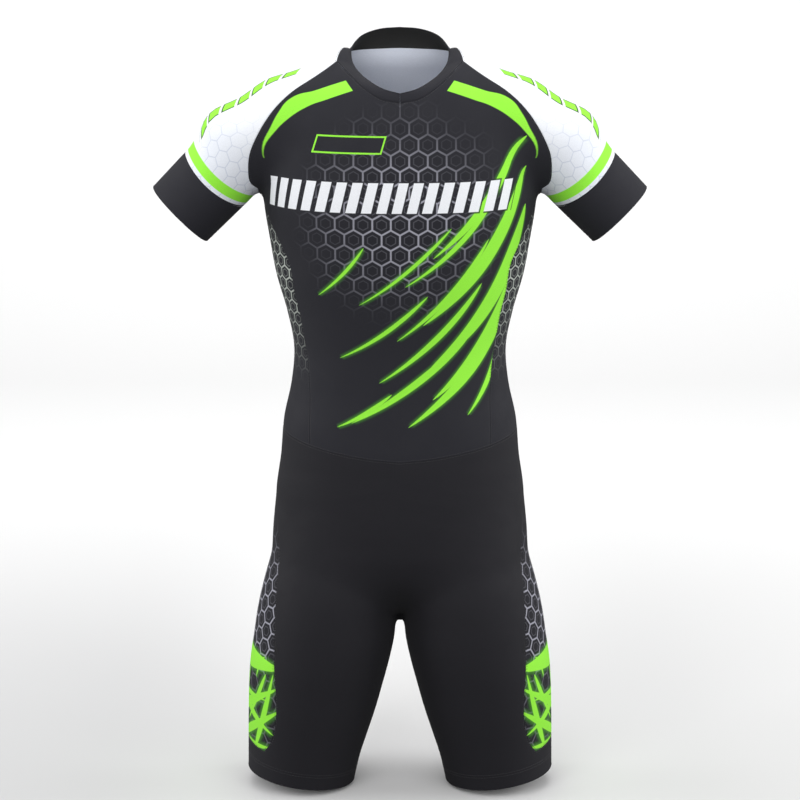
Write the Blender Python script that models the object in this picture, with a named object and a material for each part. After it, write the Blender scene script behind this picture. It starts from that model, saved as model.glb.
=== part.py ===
"""A short one-piece speed skating suit, filled out with no wearer in it.

Metres, Z up. X runs to the wearer's left, the front looks along -Y. The origin lies between the
shoulders at the base of the neck, where the wearer holds the suit up.
"""
import math

import bmesh
import bpy
import numpy as np

for old in list(bpy.data.objects):
    bpy.data.objects.remove(old, do_unlink=True)

WALL = 0.0020
SEAM_GAP = 0.0003
ZIP_WIDTH = 0.024
ZIP_WALL = 0.0010
ZIP_BOTTOM = -0.430
SLIDER = (0.008, 0.011, 0.0032)
BLEND_HIP = 0.028
BLEND_LEGS = 0.006

# How softly the arm grows out of the trunk: height, width of the blend.
ARM_BLEND = ((-0.165, 0.018), (-0.115, 0.030))

# Level sections of the trunk: height, half width, depth in front, depth behind, squareness.
TRUNK = (
    (0.050, 0.050, 0.034, 0.048, 2.0),
    (0.020, 0.0605, 0.044, 0.056, 2.0),
    (0.0055, 0.0680, 0.050, 0.060, 2.0),
    (0.002, 0.0770, 0.053, 0.062, 2.0),
    (-0.010, 0.098, 0.061, 0.064, 2.0),
    (-0.022, 0.122, 0.070, 0.068, 2.0),
    (-0.036, 0.148, 0.080, 0.076, 2.05),
    (-0.060, 0.162, 0.092, 0.089, 2.15),
    (-0.100, 0.1675, 0.103, 0.105, 2.3),
    (-0.140, 0.1710, 0.110, 0.110, 2.35),
    (-0.183, 0.1690, 0.114, 0.110, 2.35),
    (-0.229, 0.1622, 0.112, 0.104, 2.3),
    (-0.275, 0.1541, 0.107, 0.096, 2.3),
    (-0.321, 0.1413, 0.101, 0.088, 2.3),
    (-0.368, 0.1328, 0.097, 0.083, 2.25),
    (-0.415, 0.1363, 0.097, 0.083, 2.2),
    (-0.462, 0.1462, 0.100, 0.090, 2.2),
    (-0.509, 0.1504, 0.102, 0.101, 2.2),
    (-0.557, 0.1568, 0.102, 0.112, 2.2),
    (-0.605, 0.1560, 0.099, 0.118, 2.2),
    (-0.637, 0.1500, 0.093, 0.115, 2.2),
    (-0.668, 0.1330, 0.077, 0.099, 2.1),
    (-0.690, 0.1020, 0.055, 0.073, 2.0),
    (-0.706, 0.0600, 0.032, 0.042, 2.0),
    (-0.715, 0.0240, 0.014, 0.018, 2.0),
    (-0.719, 0.0050, 0.005, 0.005, 2.0),
)

# Sections across a sleeve: distance from the cuff's end, radius up, lift of its centre, depth.
ARM = (
    (-0.270, 0.0080, 0.000, 0.020),
    (-0.240, 0.0180, 0.000, 0.040),
    (-0.200, 0.0430, 0.000, 0.058),
    (-0.160, 0.0505, 0.001, 0.064),
    (-0.110, 0.0558, 0.0082, 0.062),
    (-0.090, 0.0510, 0.0045, 0.058),
    (-0.0665, 0.0485, 0.0015, 0.052),
    (0.000, 0.0470, 0.0005, 0.050),
    (0.040, 0.0470, 0.0005, 0.050),
)
CUFF_END = (0.2740, 0.000, -0.2000)
ARM_SLOPE = math.radians(44.7)
CUFF_LENGTH = 0.0650
CUFF_BOW = 0.0065
CUFF_TILT = 0.0060

# Level sections of a leg: height, distance of its centre from the middle, half width, depth in
# front, depth behind.
LEG = (
    (-0.520, 0.070, 0.020, 0.030, 0.030),
    (-0.560, 0.072, 0.058, 0.062, 0.070),
    (-0.600, 0.0765, 0.0740, 0.080, 0.093),
    (-0.637, 0.0815, 0.0790, 0.090, 0.105),
    (-0.6532, 0.0845, 0.0820, 0.0935, 0.107),
    (-0.6852, 0.0895, 0.0860, 0.098, 0.109),
    (-0.7176, 0.0945, 0.0881, 0.099, 0.106),
    (-0.7501, 0.0976, 0.0898, 0.098, 0.102),
    (-0.7827, 0.1033, 0.0890, 0.095, 0.097),
    (-0.8154, 0.1087, 0.0859, 0.090, 0.092),
    (-0.8482, 0.1137, 0.0819, 0.085, 0.086),
    (-0.8812, 0.1192, 0.0769, 0.079, 0.080),
    (-0.9143, 0.1246, 0.0718, 0.074, 0.075),
    (-0.9475, 0.1288, 0.0685, 0.070, 0.071),
    (-0.9800, 0.1320, 0.0660, 0.067, 0.068),
)
HEM_MIDDLE = (0.1270, -0.9385)
HEM_SLOPE = 0.140

# Seams of the wearer's left half, as the places they pass. Each is laid on the figure.
NECK_FRONT = ((0.0, -0.088, -0.047), (0.022, -0.085, -0.043), (0.045, -0.072, -0.031),
              (0.064, -0.052, -0.016), (0.0774, -0.030, -0.0047))
NECK_SIDE = ((0.0774, -0.030, -0.0047), (0.0735, -0.010, 0.0034), (0.0692, 0.014, 0.0050),
             (0.0640, 0.044, 0.0005))
NECK_BACK = ((0.0640, 0.044, 0.0005), (0.046, 0.054, 0.000), (0.024, 0.062, -0.0005),
             (0.0, 0.064, -0.0005))
RAGLAN_FRONT = ((0.0774, -0.030, -0.0047), (0.1000, -0.041, -0.0195), (0.1285, -0.052, -0.0365),
                (0.1570, -0.0605, -0.0625), (0.1735, -0.0637, -0.0880),
                (0.1853, -0.061, -0.1160), (0.1873, -0.055, -0.1340), (0.1860, -0.046, -0.1510),
                (0.1765, -0.030, -0.1635))
RAGLAN_BACK = ((0.0640, 0.044, 0.0005), (0.0920, 0.058, -0.022), (0.1220, 0.070, -0.045),
               (0.1520, 0.075, -0.075), (0.1740, 0.069, -0.115), (0.1820, 0.054, -0.140),
               (0.1765, 0.030, -0.1635))
ARMPIT = ((0.1765, -0.030, -0.1635), (0.1765, 0.000, -0.1690), (0.1765, 0.030, -0.1635))
SIDE_FRONT = ((0.1765, -0.030, -0.1635), (0.1665, -0.034, -0.1900), (0.1460, -0.0565, -0.2290),
              (0.1374, -0.064, -0.2480), (0.1303, -0.0607, -0.2890), (0.1232, -0.0575, -0.3190),
              (0.1185, -0.0535, -0.3520), (0.1135, -0.055, -0.3800), (0.1122, -0.0588, -0.4070),
              (0.1120, -0.0645, -0.4380), (0.1120, -0.070, -0.4815))
SIDE_BACK = ((0.1765, 0.030, -0.1635), (0.1650, 0.038, -0.1920), (0.1470, 0.056, -0.2350),
             (0.1320, 0.062, -0.2881), (0.1200, 0.058, -0.3400), (0.1150, 0.054, -0.3900),
             (0.1140, 0.058, -0.4300), (0.1150, 0.064, -0.4690))
FRONT_MIDDLE = ((0.0, -0.088, -0.047), (0.0, -0.103, -0.100), (0.0, -0.113, -0.180),
                (0.0, -0.107, -0.280), (0.0, -0.098, -0.380), (0.0, -0.102, -0.4962))
BACK_MIDDLE = ((0.0, 0.064, -0.0005), (0.0, 0.095, -0.060), (0.0, 0.110, -0.160),
               (0.0, 0.096, -0.280), (0.0, 0.083, -0.390), (0.0, 0.090, -0.4650))
WAIST_FRONT = ((0.0, -0.102, -0.4962), (0.040, -0.099, -0.4930), (0.0773, -0.088, -0.4880),
               (0.1117, -0.070, -0.4825))
WAIST_SIDE = ((0.1117, -0.070, -0.4825), (0.137, -0.036, -0.4765), (0.1478, 0.000, -0.4735),
              (0.139, 0.036, -0.4710), (0.1150, 0.064, -0.4690))
WAIST_BACK = ((0.1150, 0.064, -0.4690), (0.080, 0.082, -0.4670), (0.040, 0.090, -0.4655),
              (0.0, 0.092, -0.4650))
INSET_FRONT = ((0.1560, -0.0065, -0.5300), (0.1585, -0.0090, -0.5680),
               (0.1553, -0.0285, -0.5913), (0.1535, -0.0386, -0.6140),
               (0.1536, -0.0466, -0.6443), (0.1574, -0.0624, -0.6925),
               (0.1595, -0.0720, -0.7640), (0.1600, -0.0690, -0.8570),
               (0.1640, -0.0640, -0.8760), (0.1740, -0.0540, -0.8935))
INSET_BACK = ((0.1560, 0.0065, -0.5300), (0.1585, 0.0090, -0.5680), (0.1553, 0.0300, -0.5913),
              (0.1535, 0.0420, -0.6140), (0.1536, 0.0520, -0.6443), (0.1574, 0.0680, -0.6925),
              (0.1595, 0.0750, -0.7640), (0.1600, 0.0700, -0.8570), (0.1640, 0.0650, -0.8760),
              (0.1740, 0.0540, -0.8935))
INSET_FOOT = ((0.1740, -0.054, -0.8935), (0.1917, -0.0265, -0.8885), (0.1965, 0.000, -0.8875),
              (0.1917, 0.0265, -0.8885), (0.1740, 0.054, -0.8935))
BELLY_MIDDLE = ((0.0, -0.102, -0.4962), (0.0, -0.105, -0.560), (0.0, -0.098, -0.620),
                (0.0, -0.078, -0.670), (0.0, -0.045, -0.705), (0.0, 0.000, -0.728))
SEAT_MIDDLE = ((0.0, 0.092, -0.4650), (0.0, 0.110, -0.540), (0.0, 0.116, -0.610),
               (0.0, 0.098, -0.665), (0.0, 0.055, -0.705), (0.0, 0.000, -0.728))
INSIDE_LEG = ((0.0, 0.000, -0.728), (0.0090, 0.000, -0.757), (0.0188, 0.000, -0.799),
              (0.0318, 0.000, -0.848), (0.0423, 0.000, -0.881), (0.0505, 0.000, -0.911),
              (0.0600, 0.000, -0.9480))
GROIN_FRONT = ((0.0, 0.000, -0.728), (0.016, -0.034, -0.738), (0.044, -0.072, -0.748),
               (0.090, -0.095, -0.754), (0.130, -0.090, -0.755), (0.1602, -0.068, -0.7546))
GROIN_BACK = ((0.0, 0.000, -0.728), (0.016, 0.036, -0.738), (0.044, 0.078, -0.748),
              (0.090, 0.100, -0.754), (0.130, 0.094, -0.755), (0.1602, 0.070, -0.7546))
RIM = ((0.0, -0.0835, -0.0368), (0.018, -0.079, -0.0328), (0.0392, -0.060, -0.0240),
       (0.0530, -0.036, -0.0150), (0.0605, -0.006, -0.0040), (0.0580, 0.022, 0.0080),
       (0.0460, 0.042, 0.0180), (0.0240, 0.054, 0.0240), (0.0, 0.057, 0.0255))

# Numbers of mesh spaces along each stretch of seam.
STEPS = {"neck_front": 8, "neck_side": 4, "neck_back": 8, "raglan": 10, "armpit": 6, "side": 15,
         "waist_side": 6, "inset_upper": 13, "inset_lower": 8, "foot": 6, "hem_rows": 2,
         "sleeve": 7, "cuff": 3, "collar": 2}
INSET_TOP = 0.26


def spread(keys, values, places):
    """Values of a smooth curve through a table's rows, at other places along it."""
    keys = np.asarray(keys, float)
    values = np.asarray(values, float)
    slopes = np.gradient(values, keys, axis=0)
    spot = np.clip(np.searchsorted(keys, places, side="right") - 1, 0, len(keys) - 2)
    span = keys[spot + 1] - keys[spot]
    t = np.clip((places - keys[spot]) / span, 0.0, 1.0)
    if values.ndim > 1:
        span = span[:, None]
        t = t[:, None]
    first, last = values[spot], values[spot + 1]
    bend_first, bend_last = slopes[spot] * span, slopes[spot + 1] * span
    return ((2 * t ** 3 - 3 * t ** 2 + 1) * first + (t ** 3 - 2 * t ** 2 + t) * bend_first
            + (3 * t ** 2 - 2 * t ** 3) * last + (t ** 3 - t ** 2) * bend_last)


def dense(table, count=700):
    """A table's columns read closely along its first one, in rising order."""
    rows = np.array(sorted(table), float)
    keys = np.linspace(rows[0, 0], rows[-1, 0], count)
    return keys, spread(rows[:, 0], rows[:, 1:], keys)


TRUNK_DENSE = dense(TRUNK)
ARM_DENSE = dense(ARM)
LEG_DENSE = dense(LEG)


def column(table, places, number):
    return np.interp(places, table[0], table[1][:, number])


def outside(across, along, radius, depth, power):
    """How far points lie outside a rounded section, less than zero within it."""
    reach = np.hypot(across, along)
    share = ((np.abs(across) / radius) ** power + (np.abs(along) / depth) ** power) ** (1 / power)
    middle = np.sqrt(radius * depth)
    return (share - 1.0) * (reach + 1e-5) / (share + 1e-5 / middle)


def join(first, second, blend):
    """The union of two forms with a soft valley between them."""
    mix = np.clip(0.5 + 0.5 * (second - first) / blend, 0.0, 1.0)
    return second + (first - second) * mix - blend * mix * (1.0 - mix)


def trunk(p):
    z = p[:, 2]
    half = column(TRUNK_DENSE, z, 0)
    deep = np.where(p[:, 1] < 0.0, column(TRUNK_DENSE, z, 1), column(TRUNK_DENSE, z, 2))
    form = outside(p[:, 0], p[:, 1], half, deep, column(TRUNK_DENSE, z, 3))
    return form + np.maximum(TRUNK_DENSE[0][0] - z, 0.0)


def arm(p):
    away = np.abs(p[:, 0]) - CUFF_END[0]
    down = p[:, 2] - CUFF_END[2]
    along = away * math.cos(ARM_SLOPE) - down * math.sin(ARM_SLOPE)
    up = away * math.sin(ARM_SLOPE) + down * math.cos(ARM_SLOPE)
    form = outside(up - column(ARM_DENSE, along, 1), p[:, 1], column(ARM_DENSE, along, 0),
                   column(ARM_DENSE, along, 2), 2.0)
    return form + np.maximum(ARM_DENSE[0][0] - along, 0.0)


def leg(p, hand):
    z = p[:, 2]
    deep = np.where(p[:, 1] < 0.0, column(LEG_DENSE, z, 2), column(LEG_DENSE, z, 3))
    form = outside(p[:, 0] - hand * column(LEG_DENSE, z, 0), p[:, 1],
                   column(LEG_DENSE, z, 1), deep, 2.0)
    return form + np.maximum(z - LEG_DENSE[0][-1], 0.0)


def figure(p):
    """The general figure that the suit is cut for, zero on the middle of the cloth."""
    heights, blends = np.array(ARM_BLEND).T
    upper = join(trunk(p), arm(p), np.interp(p[:, 2], heights, blends))
    lower = join(leg(p, 1.0), leg(p, -1.0), BLEND_LEGS)
    return join(upper, lower, BLEND_HIP)


def slope(p, step=0.0004):
    """The figure's slope at points, by small steps to each side."""
    result = np.empty_like(p)
    for axis in range(3):
        shift = np.zeros(3)
        shift[axis] = step
        result[:, axis] = (figure(p + shift) - figure(p - shift)) / (2 * step)
    return result


def lay(points, level=False, rounds=9):
    """Points moved onto the figure. Level ones keep their height."""
    flat = np.array(points, float).reshape(-1, 3)
    for _ in range(rounds):
        grade = slope(flat)
        if level:
            grade[:, 2] = 0.0
        size = np.maximum((grade ** 2).sum(axis=1), 0.05)
        move = figure(flat)[:, None] * grade / size[:, None]
        length = np.linalg.norm(move, axis=1)
        flat = flat - move * np.minimum(1.0, 0.03 / np.maximum(length, 1e-9))[:, None]
    return flat.reshape(np.shape(points))


def facing(points):
    """Directions straight out of the cloth."""
    grade = slope(np.asarray(points, float).reshape(-1, 3))
    grade /= np.linalg.norm(grade, axis=1)[:, None]
    return grade.reshape(np.shape(points))


def along(points, count):
    """Even steps along a smooth curve through a few places."""
    points = np.asarray(points, float)
    keys = np.concatenate([[0.0], np.cumsum(np.linalg.norm(np.diff(points, axis=0), axis=1))])
    fine = spread(keys, points, np.linspace(0.0, keys[-1], 240))
    keys = np.concatenate([[0.0], np.cumsum(np.linalg.norm(np.diff(fine, axis=0), axis=1))])
    places = np.linspace(0.0, keys[-1], count + 1)
    return np.stack([np.interp(places, keys, fine[:, axis]) for axis in range(3)], axis=1)


def seam(points, count, level=False):
    """A seam on the figure, in even steps."""
    laid = lay(along(points, 60), level)
    keys = np.concatenate([[0.0], np.cumsum(np.linalg.norm(np.diff(laid, axis=0), axis=1))])
    places = np.linspace(0.0, keys[-1], count + 1)
    even = np.stack([np.interp(places, keys, laid[:, axis]) for axis in range(3)], axis=1)
    return lay(even, level, 3)


def chain(*stretches):
    """Seams joined end to end into one."""
    whole = [stretches[0]]
    for stretch in stretches[1:]:
        whole.append(stretch[1:])
    return np.concatenate(whole)


def finer(line, count):
    """The same chords with more points on them."""
    keys = np.linspace(0.0, 1.0, len(line))
    places = np.linspace(0.0, 1.0, count + 1)
    return np.stack([np.interp(places, keys, line[:, axis]) for axis in range(3)], axis=1)


def field(top, bottom, first, last, relax=14, level=False):
    """A lattice of points within four seams, evened out on the figure."""
    rows, cols = len(first), len(top)
    u = np.linspace(0.0, 1.0, cols)[None, :, None]
    v = np.linspace(0.0, 1.0, rows)[:, None, None]
    grid = ((1 - v) * top[None] + v * bottom[None] + (1 - u) * first[:, None]
            + u * last[:, None] - (1 - u) * (1 - v) * top[0] - u * (1 - v) * top[-1]
            - (1 - u) * v * bottom[0] - u * v * bottom[-1])
    grid[1:-1, 1:-1] = lay(grid[1:-1, 1:-1], level)
    for _ in range(relax):
        mean = (grid[:-2, 1:-1] + grid[2:, 1:-1] + grid[1:-1, :-2] + grid[1:-1, 2:]) / 4
        grid[1:-1, 1:-1] = lay(0.4 * grid[1:-1, 1:-1] + 0.6 * mean, level, 2)
    grid[1:-1, 1:-1] = lay(grid[1:-1, 1:-1], level)
    return grid


def mirrored(grid):
    """A lattice on the other side of the suit, with its rows reversed."""
    other = grid[:, ::-1].copy()
    other[..., 0] *= -1.0
    return other


class Cloth:
    """One cut piece: lattices that share edges, gathered into faces over common points."""

    def __init__(self):
        self.points = []
        self.normals = []
        self.faces = []
        self.seen = {}

    def spot(self, point, normal):
        key = tuple(int(round(value * 1e6)) for value in point)
        if key not in self.seen:
            self.seen[key] = len(self.points)
            self.points.append(point)
            self.normals.append(normal)
        return self.seen[key]

    def part_from(self, line):
        """Forget a line of points, so that what is added later stays apart there."""
        for point in line:
            del self.seen[tuple(int(round(value * 1e6)) for value in point)]

    def add(self, grid, normals=None):
        """Rows run down and columns to the wearer's left, seen from outside."""
        if normals is None:
            normals = facing(grid)
        rows, cols = grid.shape[:2]
        marks = [[self.spot(grid[r, c], normals[r, c]) for c in range(cols)]
                 for r in range(rows)]
        for r in range(rows - 1):
            for c in range(cols - 1):
                a, b = marks[r][c], marks[r][c + 1]
                d, e = marks[r + 1][c], marks[r + 1][c + 1]
                near = np.linalg.norm(grid[r, c] - grid[r + 1, c + 1])
                far = np.linalg.norm(grid[r, c + 1] - grid[r + 1, c])
                if near <= far:
                    self.faces += [(a, d, e), (a, e, b)]
                else:
                    self.faces += [(a, d, b), (b, d, e)]
        return self

    def solid(self, name, lift=0.0, wall=WALL, gap=SEAM_GAP):
        """A closed wall of even thickness, held back from its seams by half the gap."""
        points = np.array(self.points)
        normals = np.array(self.normals)
        faces = [face for face in self.faces if len(set(face)) == 3]
        turns = 0.0
        for a, b, c in faces:
            turn = np.cross(points[b] - points[a], points[c] - points[a])
            turns += float(np.dot(turn, normals[a]))
        if turns < 0.0:
            faces = [(a, c, b) for a, b, c in faces]
        edges = {}
        for face in faces:
            for k in range(3):
                a, b = face[k], face[(k + 1) % 3]
                edges[(a, b)] = face[(k + 2) % 3]
        border = [(a, b) for a, b in edges if (b, a) not in edges]
        inward = {}
        for a, b in border:
            run = points[b] - points[a]
            for end in (a, b):
                way = np.cross(normals[end], run)
                way /= np.linalg.norm(way)
                inward.setdefault(end, []).append(way)
        held = points.copy()
        for end, ways in inward.items():
            if len(ways) < 2:
                continue
            both = ways[0] + ways[1]
            held[end] += 0.5 * gap * both / max(0.35, 1.0 + float(np.dot(ways[0], ways[1])))
        outer = held + normals * (lift + wall / 2)
        inner = held + normals * (lift - wall / 2)
        count = len(points)
        verts = [tuple(v) for v in outer] + [tuple(v) for v in inner]
        sides = list(faces) + [(a + count, c + count, b + count) for a, b, c in faces]
        rank = [(round(z, 5), round(abs(x), 5), round(y, 5)) for x, y, z in points]
        for a, b in border:
            if rank[a] > rank[b]:
                sides += [(b, a, b + count), (a, a + count, b + count)]
            else:
                sides += [(b, a, a + count), (b, a + count, b + count)]
        mesh = bpy.data.meshes.new(name)
        mesh.from_pydata(verts, [], sides)
        mesh.validate()
        bm = bmesh.new()
        bm.from_mesh(mesh)
        loose = [v for v in bm.verts if not v.link_faces]
        bmesh.ops.delete(bm, geom=loose, context="VERTS")
        bmesh.ops.recalc_face_normals(bm, faces=bm.faces)
        bm.to_mesh(mesh)
        bm.free()
        body = bpy.data.objects.new(name, mesh)
        bpy.context.scene.collection.objects.link(body)
        return body


def hem_height(x):
    return HEM_MIDDLE[1] + HEM_SLOPE * (x - HEM_MIDDLE[0])


def hem_line(start, end, count):
    """Part of a leg's hem, by its angle round the leg in degrees from the outside."""
    turns = np.radians(np.linspace(start, end, count + 1))
    points = np.stack([HEM_MIDDLE[0] + 0.0695 * np.cos(turns), 0.071 * np.sin(turns),
                       np.zeros(count + 1)], axis=1)
    for _ in range(3):
        points[:, 2] = hem_height(points[:, 0])
        points = lay(points, True)
    return points


def cuff_ring(distance, count, bow=0.0, tilt=0.0):
    """A ring round the sleeve, from under the arm over its front."""
    ahead = np.array([math.cos(ARM_SLOPE), 0.0, -math.sin(ARM_SLOPE)])
    upward = np.array([math.sin(ARM_SLOPE), 0.0, math.cos(ARM_SLOPE)])
    centre = np.array(CUFF_END) + distance * ahead
    size = float(column(ARM_DENSE, distance, 0))
    deep = float(column(ARM_DENSE, distance, 2))
    lift = float(column(ARM_DENSE, distance, 1))
    turns = np.linspace(0.0, 2 * math.pi, count + 1)
    return (centre - (size * np.cos(turns) - lift)[:, None] * upward
            + (bow * np.sin(turns) ** 2 + 0.5 * tilt * (1.0 - np.cos(turns)))[:, None] * ahead
            - deep * np.sin(turns)[:, None] * np.array([0.0, 1.0, 0.0]))


def zip_up(front, middle):
    """The tape behind the middle of the fronts, from their own points moved in, and its slider."""
    rows = 1 + int((middle[:, 2] > ZIP_BOTTOM).sum())
    strip = front[:rows, :2].copy()
    share = ZIP_WIDTH / 2 / (strip[:, 1, 0] - strip[:, 0, 0])
    out = facing(strip)
    strip[:, 1] = strip[:, 0] + (strip[:, 1] - strip[:, 0]) * share[:, None]
    out[:, 1] = out[:, 0] + (out[:, 1] - out[:, 0]) * share[:, None]
    strip[0] += 0.25 * (strip[1] - strip[0])
    out[0] += 0.25 * (out[1] - out[0])
    behind = -(WALL / 2 + SEAM_GAP + ZIP_WALL / 2)
    tape = Cloth()
    tape.add(strip, out)
    turned = out[:, ::-1].copy()
    turned[..., 0] *= -1.0
    tape.add(mirrored(strip), turned)
    tape.solid("zip_tape", behind, ZIP_WALL)

    wide, tall, deep = SLIDER
    normal = out[0, 0] + out[1, 0]
    normal /= np.linalg.norm(normal)
    down = strip[1, 0] - strip[0, 0]
    down /= np.linalg.norm(down)
    normal -= down * float(np.dot(normal, down))
    normal /= np.linalg.norm(normal)
    centre = (strip[0, 0] + down * tall * 0.62
              + normal * (behind - ZIP_WALL / 2 - SEAM_GAP - deep / 2))
    bm = bmesh.new()
    bmesh.ops.create_cube(bm, size=1.0)
    for vert in bm.verts:
        x, y, z = vert.co
        x *= 1.0 - 0.35 * (z + 0.5)
        vert.co = tuple(centre + np.array([wide * x, 0.0, 0.0]) + normal * deep * y + down * tall * z)
    mesh = bpy.data.meshes.new("zip_slider")
    bm.to_mesh(mesh)
    bm.free()
    bpy.context.scene.collection.objects.link(bpy.data.objects.new("zip_slider", mesh))


def build():
    steps = STEPS
    neck_front = seam(NECK_FRONT, steps["neck_front"])
    neck_side = seam(NECK_SIDE, steps["neck_side"])
    neck_back = seam(NECK_BACK, steps["neck_back"])
    raglan_front = seam(RAGLAN_FRONT, steps["raglan"])
    raglan_back = seam(RAGLAN_BACK, steps["raglan"])
    armpit = seam(ARMPIT, steps["armpit"])
    side_front = seam(SIDE_FRONT, steps["side"])
    side_back = seam(SIDE_BACK, steps["side"])
    waist_front = seam(WAIST_FRONT, steps["neck_front"])
    waist_side = seam(WAIST_SIDE, steps["waist_side"])
    waist_back = seam(WAIST_BACK, steps["neck_back"])
    for line, end in ((raglan_back, neck_back[0]), (neck_side, neck_front[-1]),
                      (raglan_front, neck_front[-1])):
        line[0] = end
    neck_side[-1] = neck_back[0]
    raglan_front[-1] = armpit[0]
    raglan_back[-1] = armpit[-1]
    side_front[0] = armpit[0]
    side_back[0] = armpit[-1]
    side_front[-1] = waist_front[-1]
    side_back[-1] = waist_side[-1]
    waist_side[0] = waist_front[-1]
    waist_back[0] = waist_side[-1]

    upper = steps["raglan"]
    front_middle = seam(FRONT_MIDDLE, upper + steps["side"])
    back_middle = seam(BACK_MIDDLE, upper + steps["side"])
    front_middle[0], front_middle[-1] = neck_front[0], waist_front[0]
    back_middle[0], back_middle[-1] = neck_back[-1], waist_back[-1]

    front = field(neck_front, waist_front, front_middle, chain(raglan_front, side_front))
    back = field(neck_back[::-1], waist_back[::-1], back_middle, chain(raglan_back, side_back))
    side = field(armpit, waist_side, side_front, side_back)
    Cloth().add(front).solid("front_left")
    Cloth().add(mirrored(front)).solid("front_right")
    Cloth().add(back).add(mirrored(back)).solid("back")
    zip_up(front, front_middle)
    Cloth().add(side).solid("side_left")
    Cloth().add(mirrored(side)).solid("side_right")

    half = steps["armpit"] // 2
    crown = chain(armpit[half::-1], raglan_front[::-1], neck_side, raglan_back, armpit[:half - 1:-1])
    around = len(crown) - 1
    cuff_seam = cuff_ring(-CUFF_LENGTH, around, CUFF_BOW, CUFF_TILT)
    under = np.linspace(0.0, 1.0, steps["sleeve"] + 1)[:, None] * (cuff_seam[0] - crown[0]) + crown[0]
    under = lay(under)
    under[0], under[-1] = crown[0], cuff_seam[0]
    sleeve = field(crown, cuff_seam, under, under)
    cuff_end = cuff_ring(0.0, around, -0.3 * CUFF_BOW)
    cuff = np.array([cuff_seam + (cuff_end - cuff_seam) * (k / steps["cuff"])
                     for k in range(steps["cuff"] + 1)])
    Cloth().add(sleeve).solid("sleeve_left")
    Cloth().add(mirrored(sleeve)).solid("sleeve_right")
    Cloth().add(cuff).solid("cuff_left")
    Cloth().add(mirrored(cuff)).solid("cuff_right")

    narrow = steps["waist_side"] // 2
    hip = waist_side[narrow]
    tip_f = hip + INSET_TOP * (waist_side[narrow - 1] - hip)
    tip_b = hip + INSET_TOP * (waist_side[narrow + 1] - hip)
    waist_f = np.concatenate([waist_front, waist_side[1:narrow], [tip_f]])
    waist_inset = np.array([tip_f, hip, tip_b])
    waist_b = np.concatenate([[tip_b], waist_side[narrow + 1:], waist_back[1:]])
    inset_f = seam((tuple(waist_inset[0]),) + INSET_FRONT,
                   steps["inset_upper"] + steps["inset_lower"], True)
    inset_b = seam((tuple(waist_inset[-1]),) + INSET_BACK,
                   steps["inset_upper"] + steps["inset_lower"], True)
    inset_f[0], inset_b[0] = waist_inset[0], waist_inset[-1]
    foot = seam(INSET_FOOT, steps["foot"])
    foot[0], foot[-1] = inset_f[-1], inset_b[-1]
    inset = field(finer(waist_inset, steps["foot"]), foot, inset_f, inset_b, 14, True)
    Cloth().add(inset).solid("inset_left")
    Cloth().add(mirrored(inset)).solid("inset_right")

    top = steps["inset_upper"]
    inside = seam(INSIDE_LEG, steps["inset_lower"] + steps["hem_rows"])
    halves = {}
    for name, waist, middle, groin, outer, low in (
            ("front", waist_f, BELLY_MIDDLE, GROIN_FRONT, inset_f, foot[:steps["foot"] // 2 + 1]),
            ("back", waist_b[::-1], SEAT_MIDDLE, GROIN_BACK, inset_b,
             foot[:steps["foot"] // 2 - 1:-1])):
        cols = len(waist) - 1
        middle_line = seam(middle, top)
        middle_line[0] = waist[0]
        middle_line[-1] = inside[0]
        groin_line = seam(groin, cols)
        groin_line[0], groin_line[-1] = inside[0], outer[top]
        hips = field(waist, groin_line, middle_line, outer[:top + 1])
        sign = -1.0 if name == "front" else 1.0
        tip_turn = sign * math.degrees(math.atan2(abs(outer[-1][1]) / 0.073,
                                                  (outer[-1][0] - 0.1225) / 0.0725))
        hem = hem_line(sign * 180.0, tip_turn, cols)
        band_in = inside[steps["inset_lower"]:]
        level_line = seam((tuple(inside[steps["inset_lower"]]),
                           (0.074, sign * 0.062, -0.9090), (0.120, sign * 0.078, -0.9040),
                           tuple(outer[-1])), cols)
        level_line[0], level_line[-1] = inside[steps["inset_lower"]], outer[-1]
        thigh = field(groin_line, level_line, inside[:steps["inset_lower"] + 1], outer[top:])
        drop = np.array([outer[-1] + (hem[-1] - outer[-1]) * share
                         for share in np.linspace(0.0, 1.0, steps["hem_rows"] + 1)])
        drop = lay(drop)
        drop[0], drop[-1] = outer[-1], hem[-1]
        inside[-1] = hem[0]
        band = field(level_line, hem, band_in, drop)
        hem_out = hem_line(tip_turn, 0.0, len(low) - 1)
        hem_out[0] = hem[-1]
        outseam = np.array([low[-1] + (hem_out[-1] - low[-1]) * share
                            for share in np.linspace(0.0, 1.0, steps["hem_rows"] + 1)])
        outseam = lay(outseam)
        outseam[0], outseam[-1] = low[-1], hem_out[-1]
        tail = field(low, hem_out, drop, outseam)
        halves[name] = (hips, thigh, band, tail)

    shorts = Cloth()
    for grid in halves["front"]:
        shorts.add(grid)
        shorts.add(mirrored(grid))
    shorts.solid("shorts_front")
    seat_left = Cloth()
    seat_right = Cloth()
    for grid in halves["back"]:
        seat_left.add(grid)
        seat_right.add(mirrored(grid))
    seat_left.solid("shorts_back_left")
    seat_right.solid("shorts_back_right")

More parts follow.
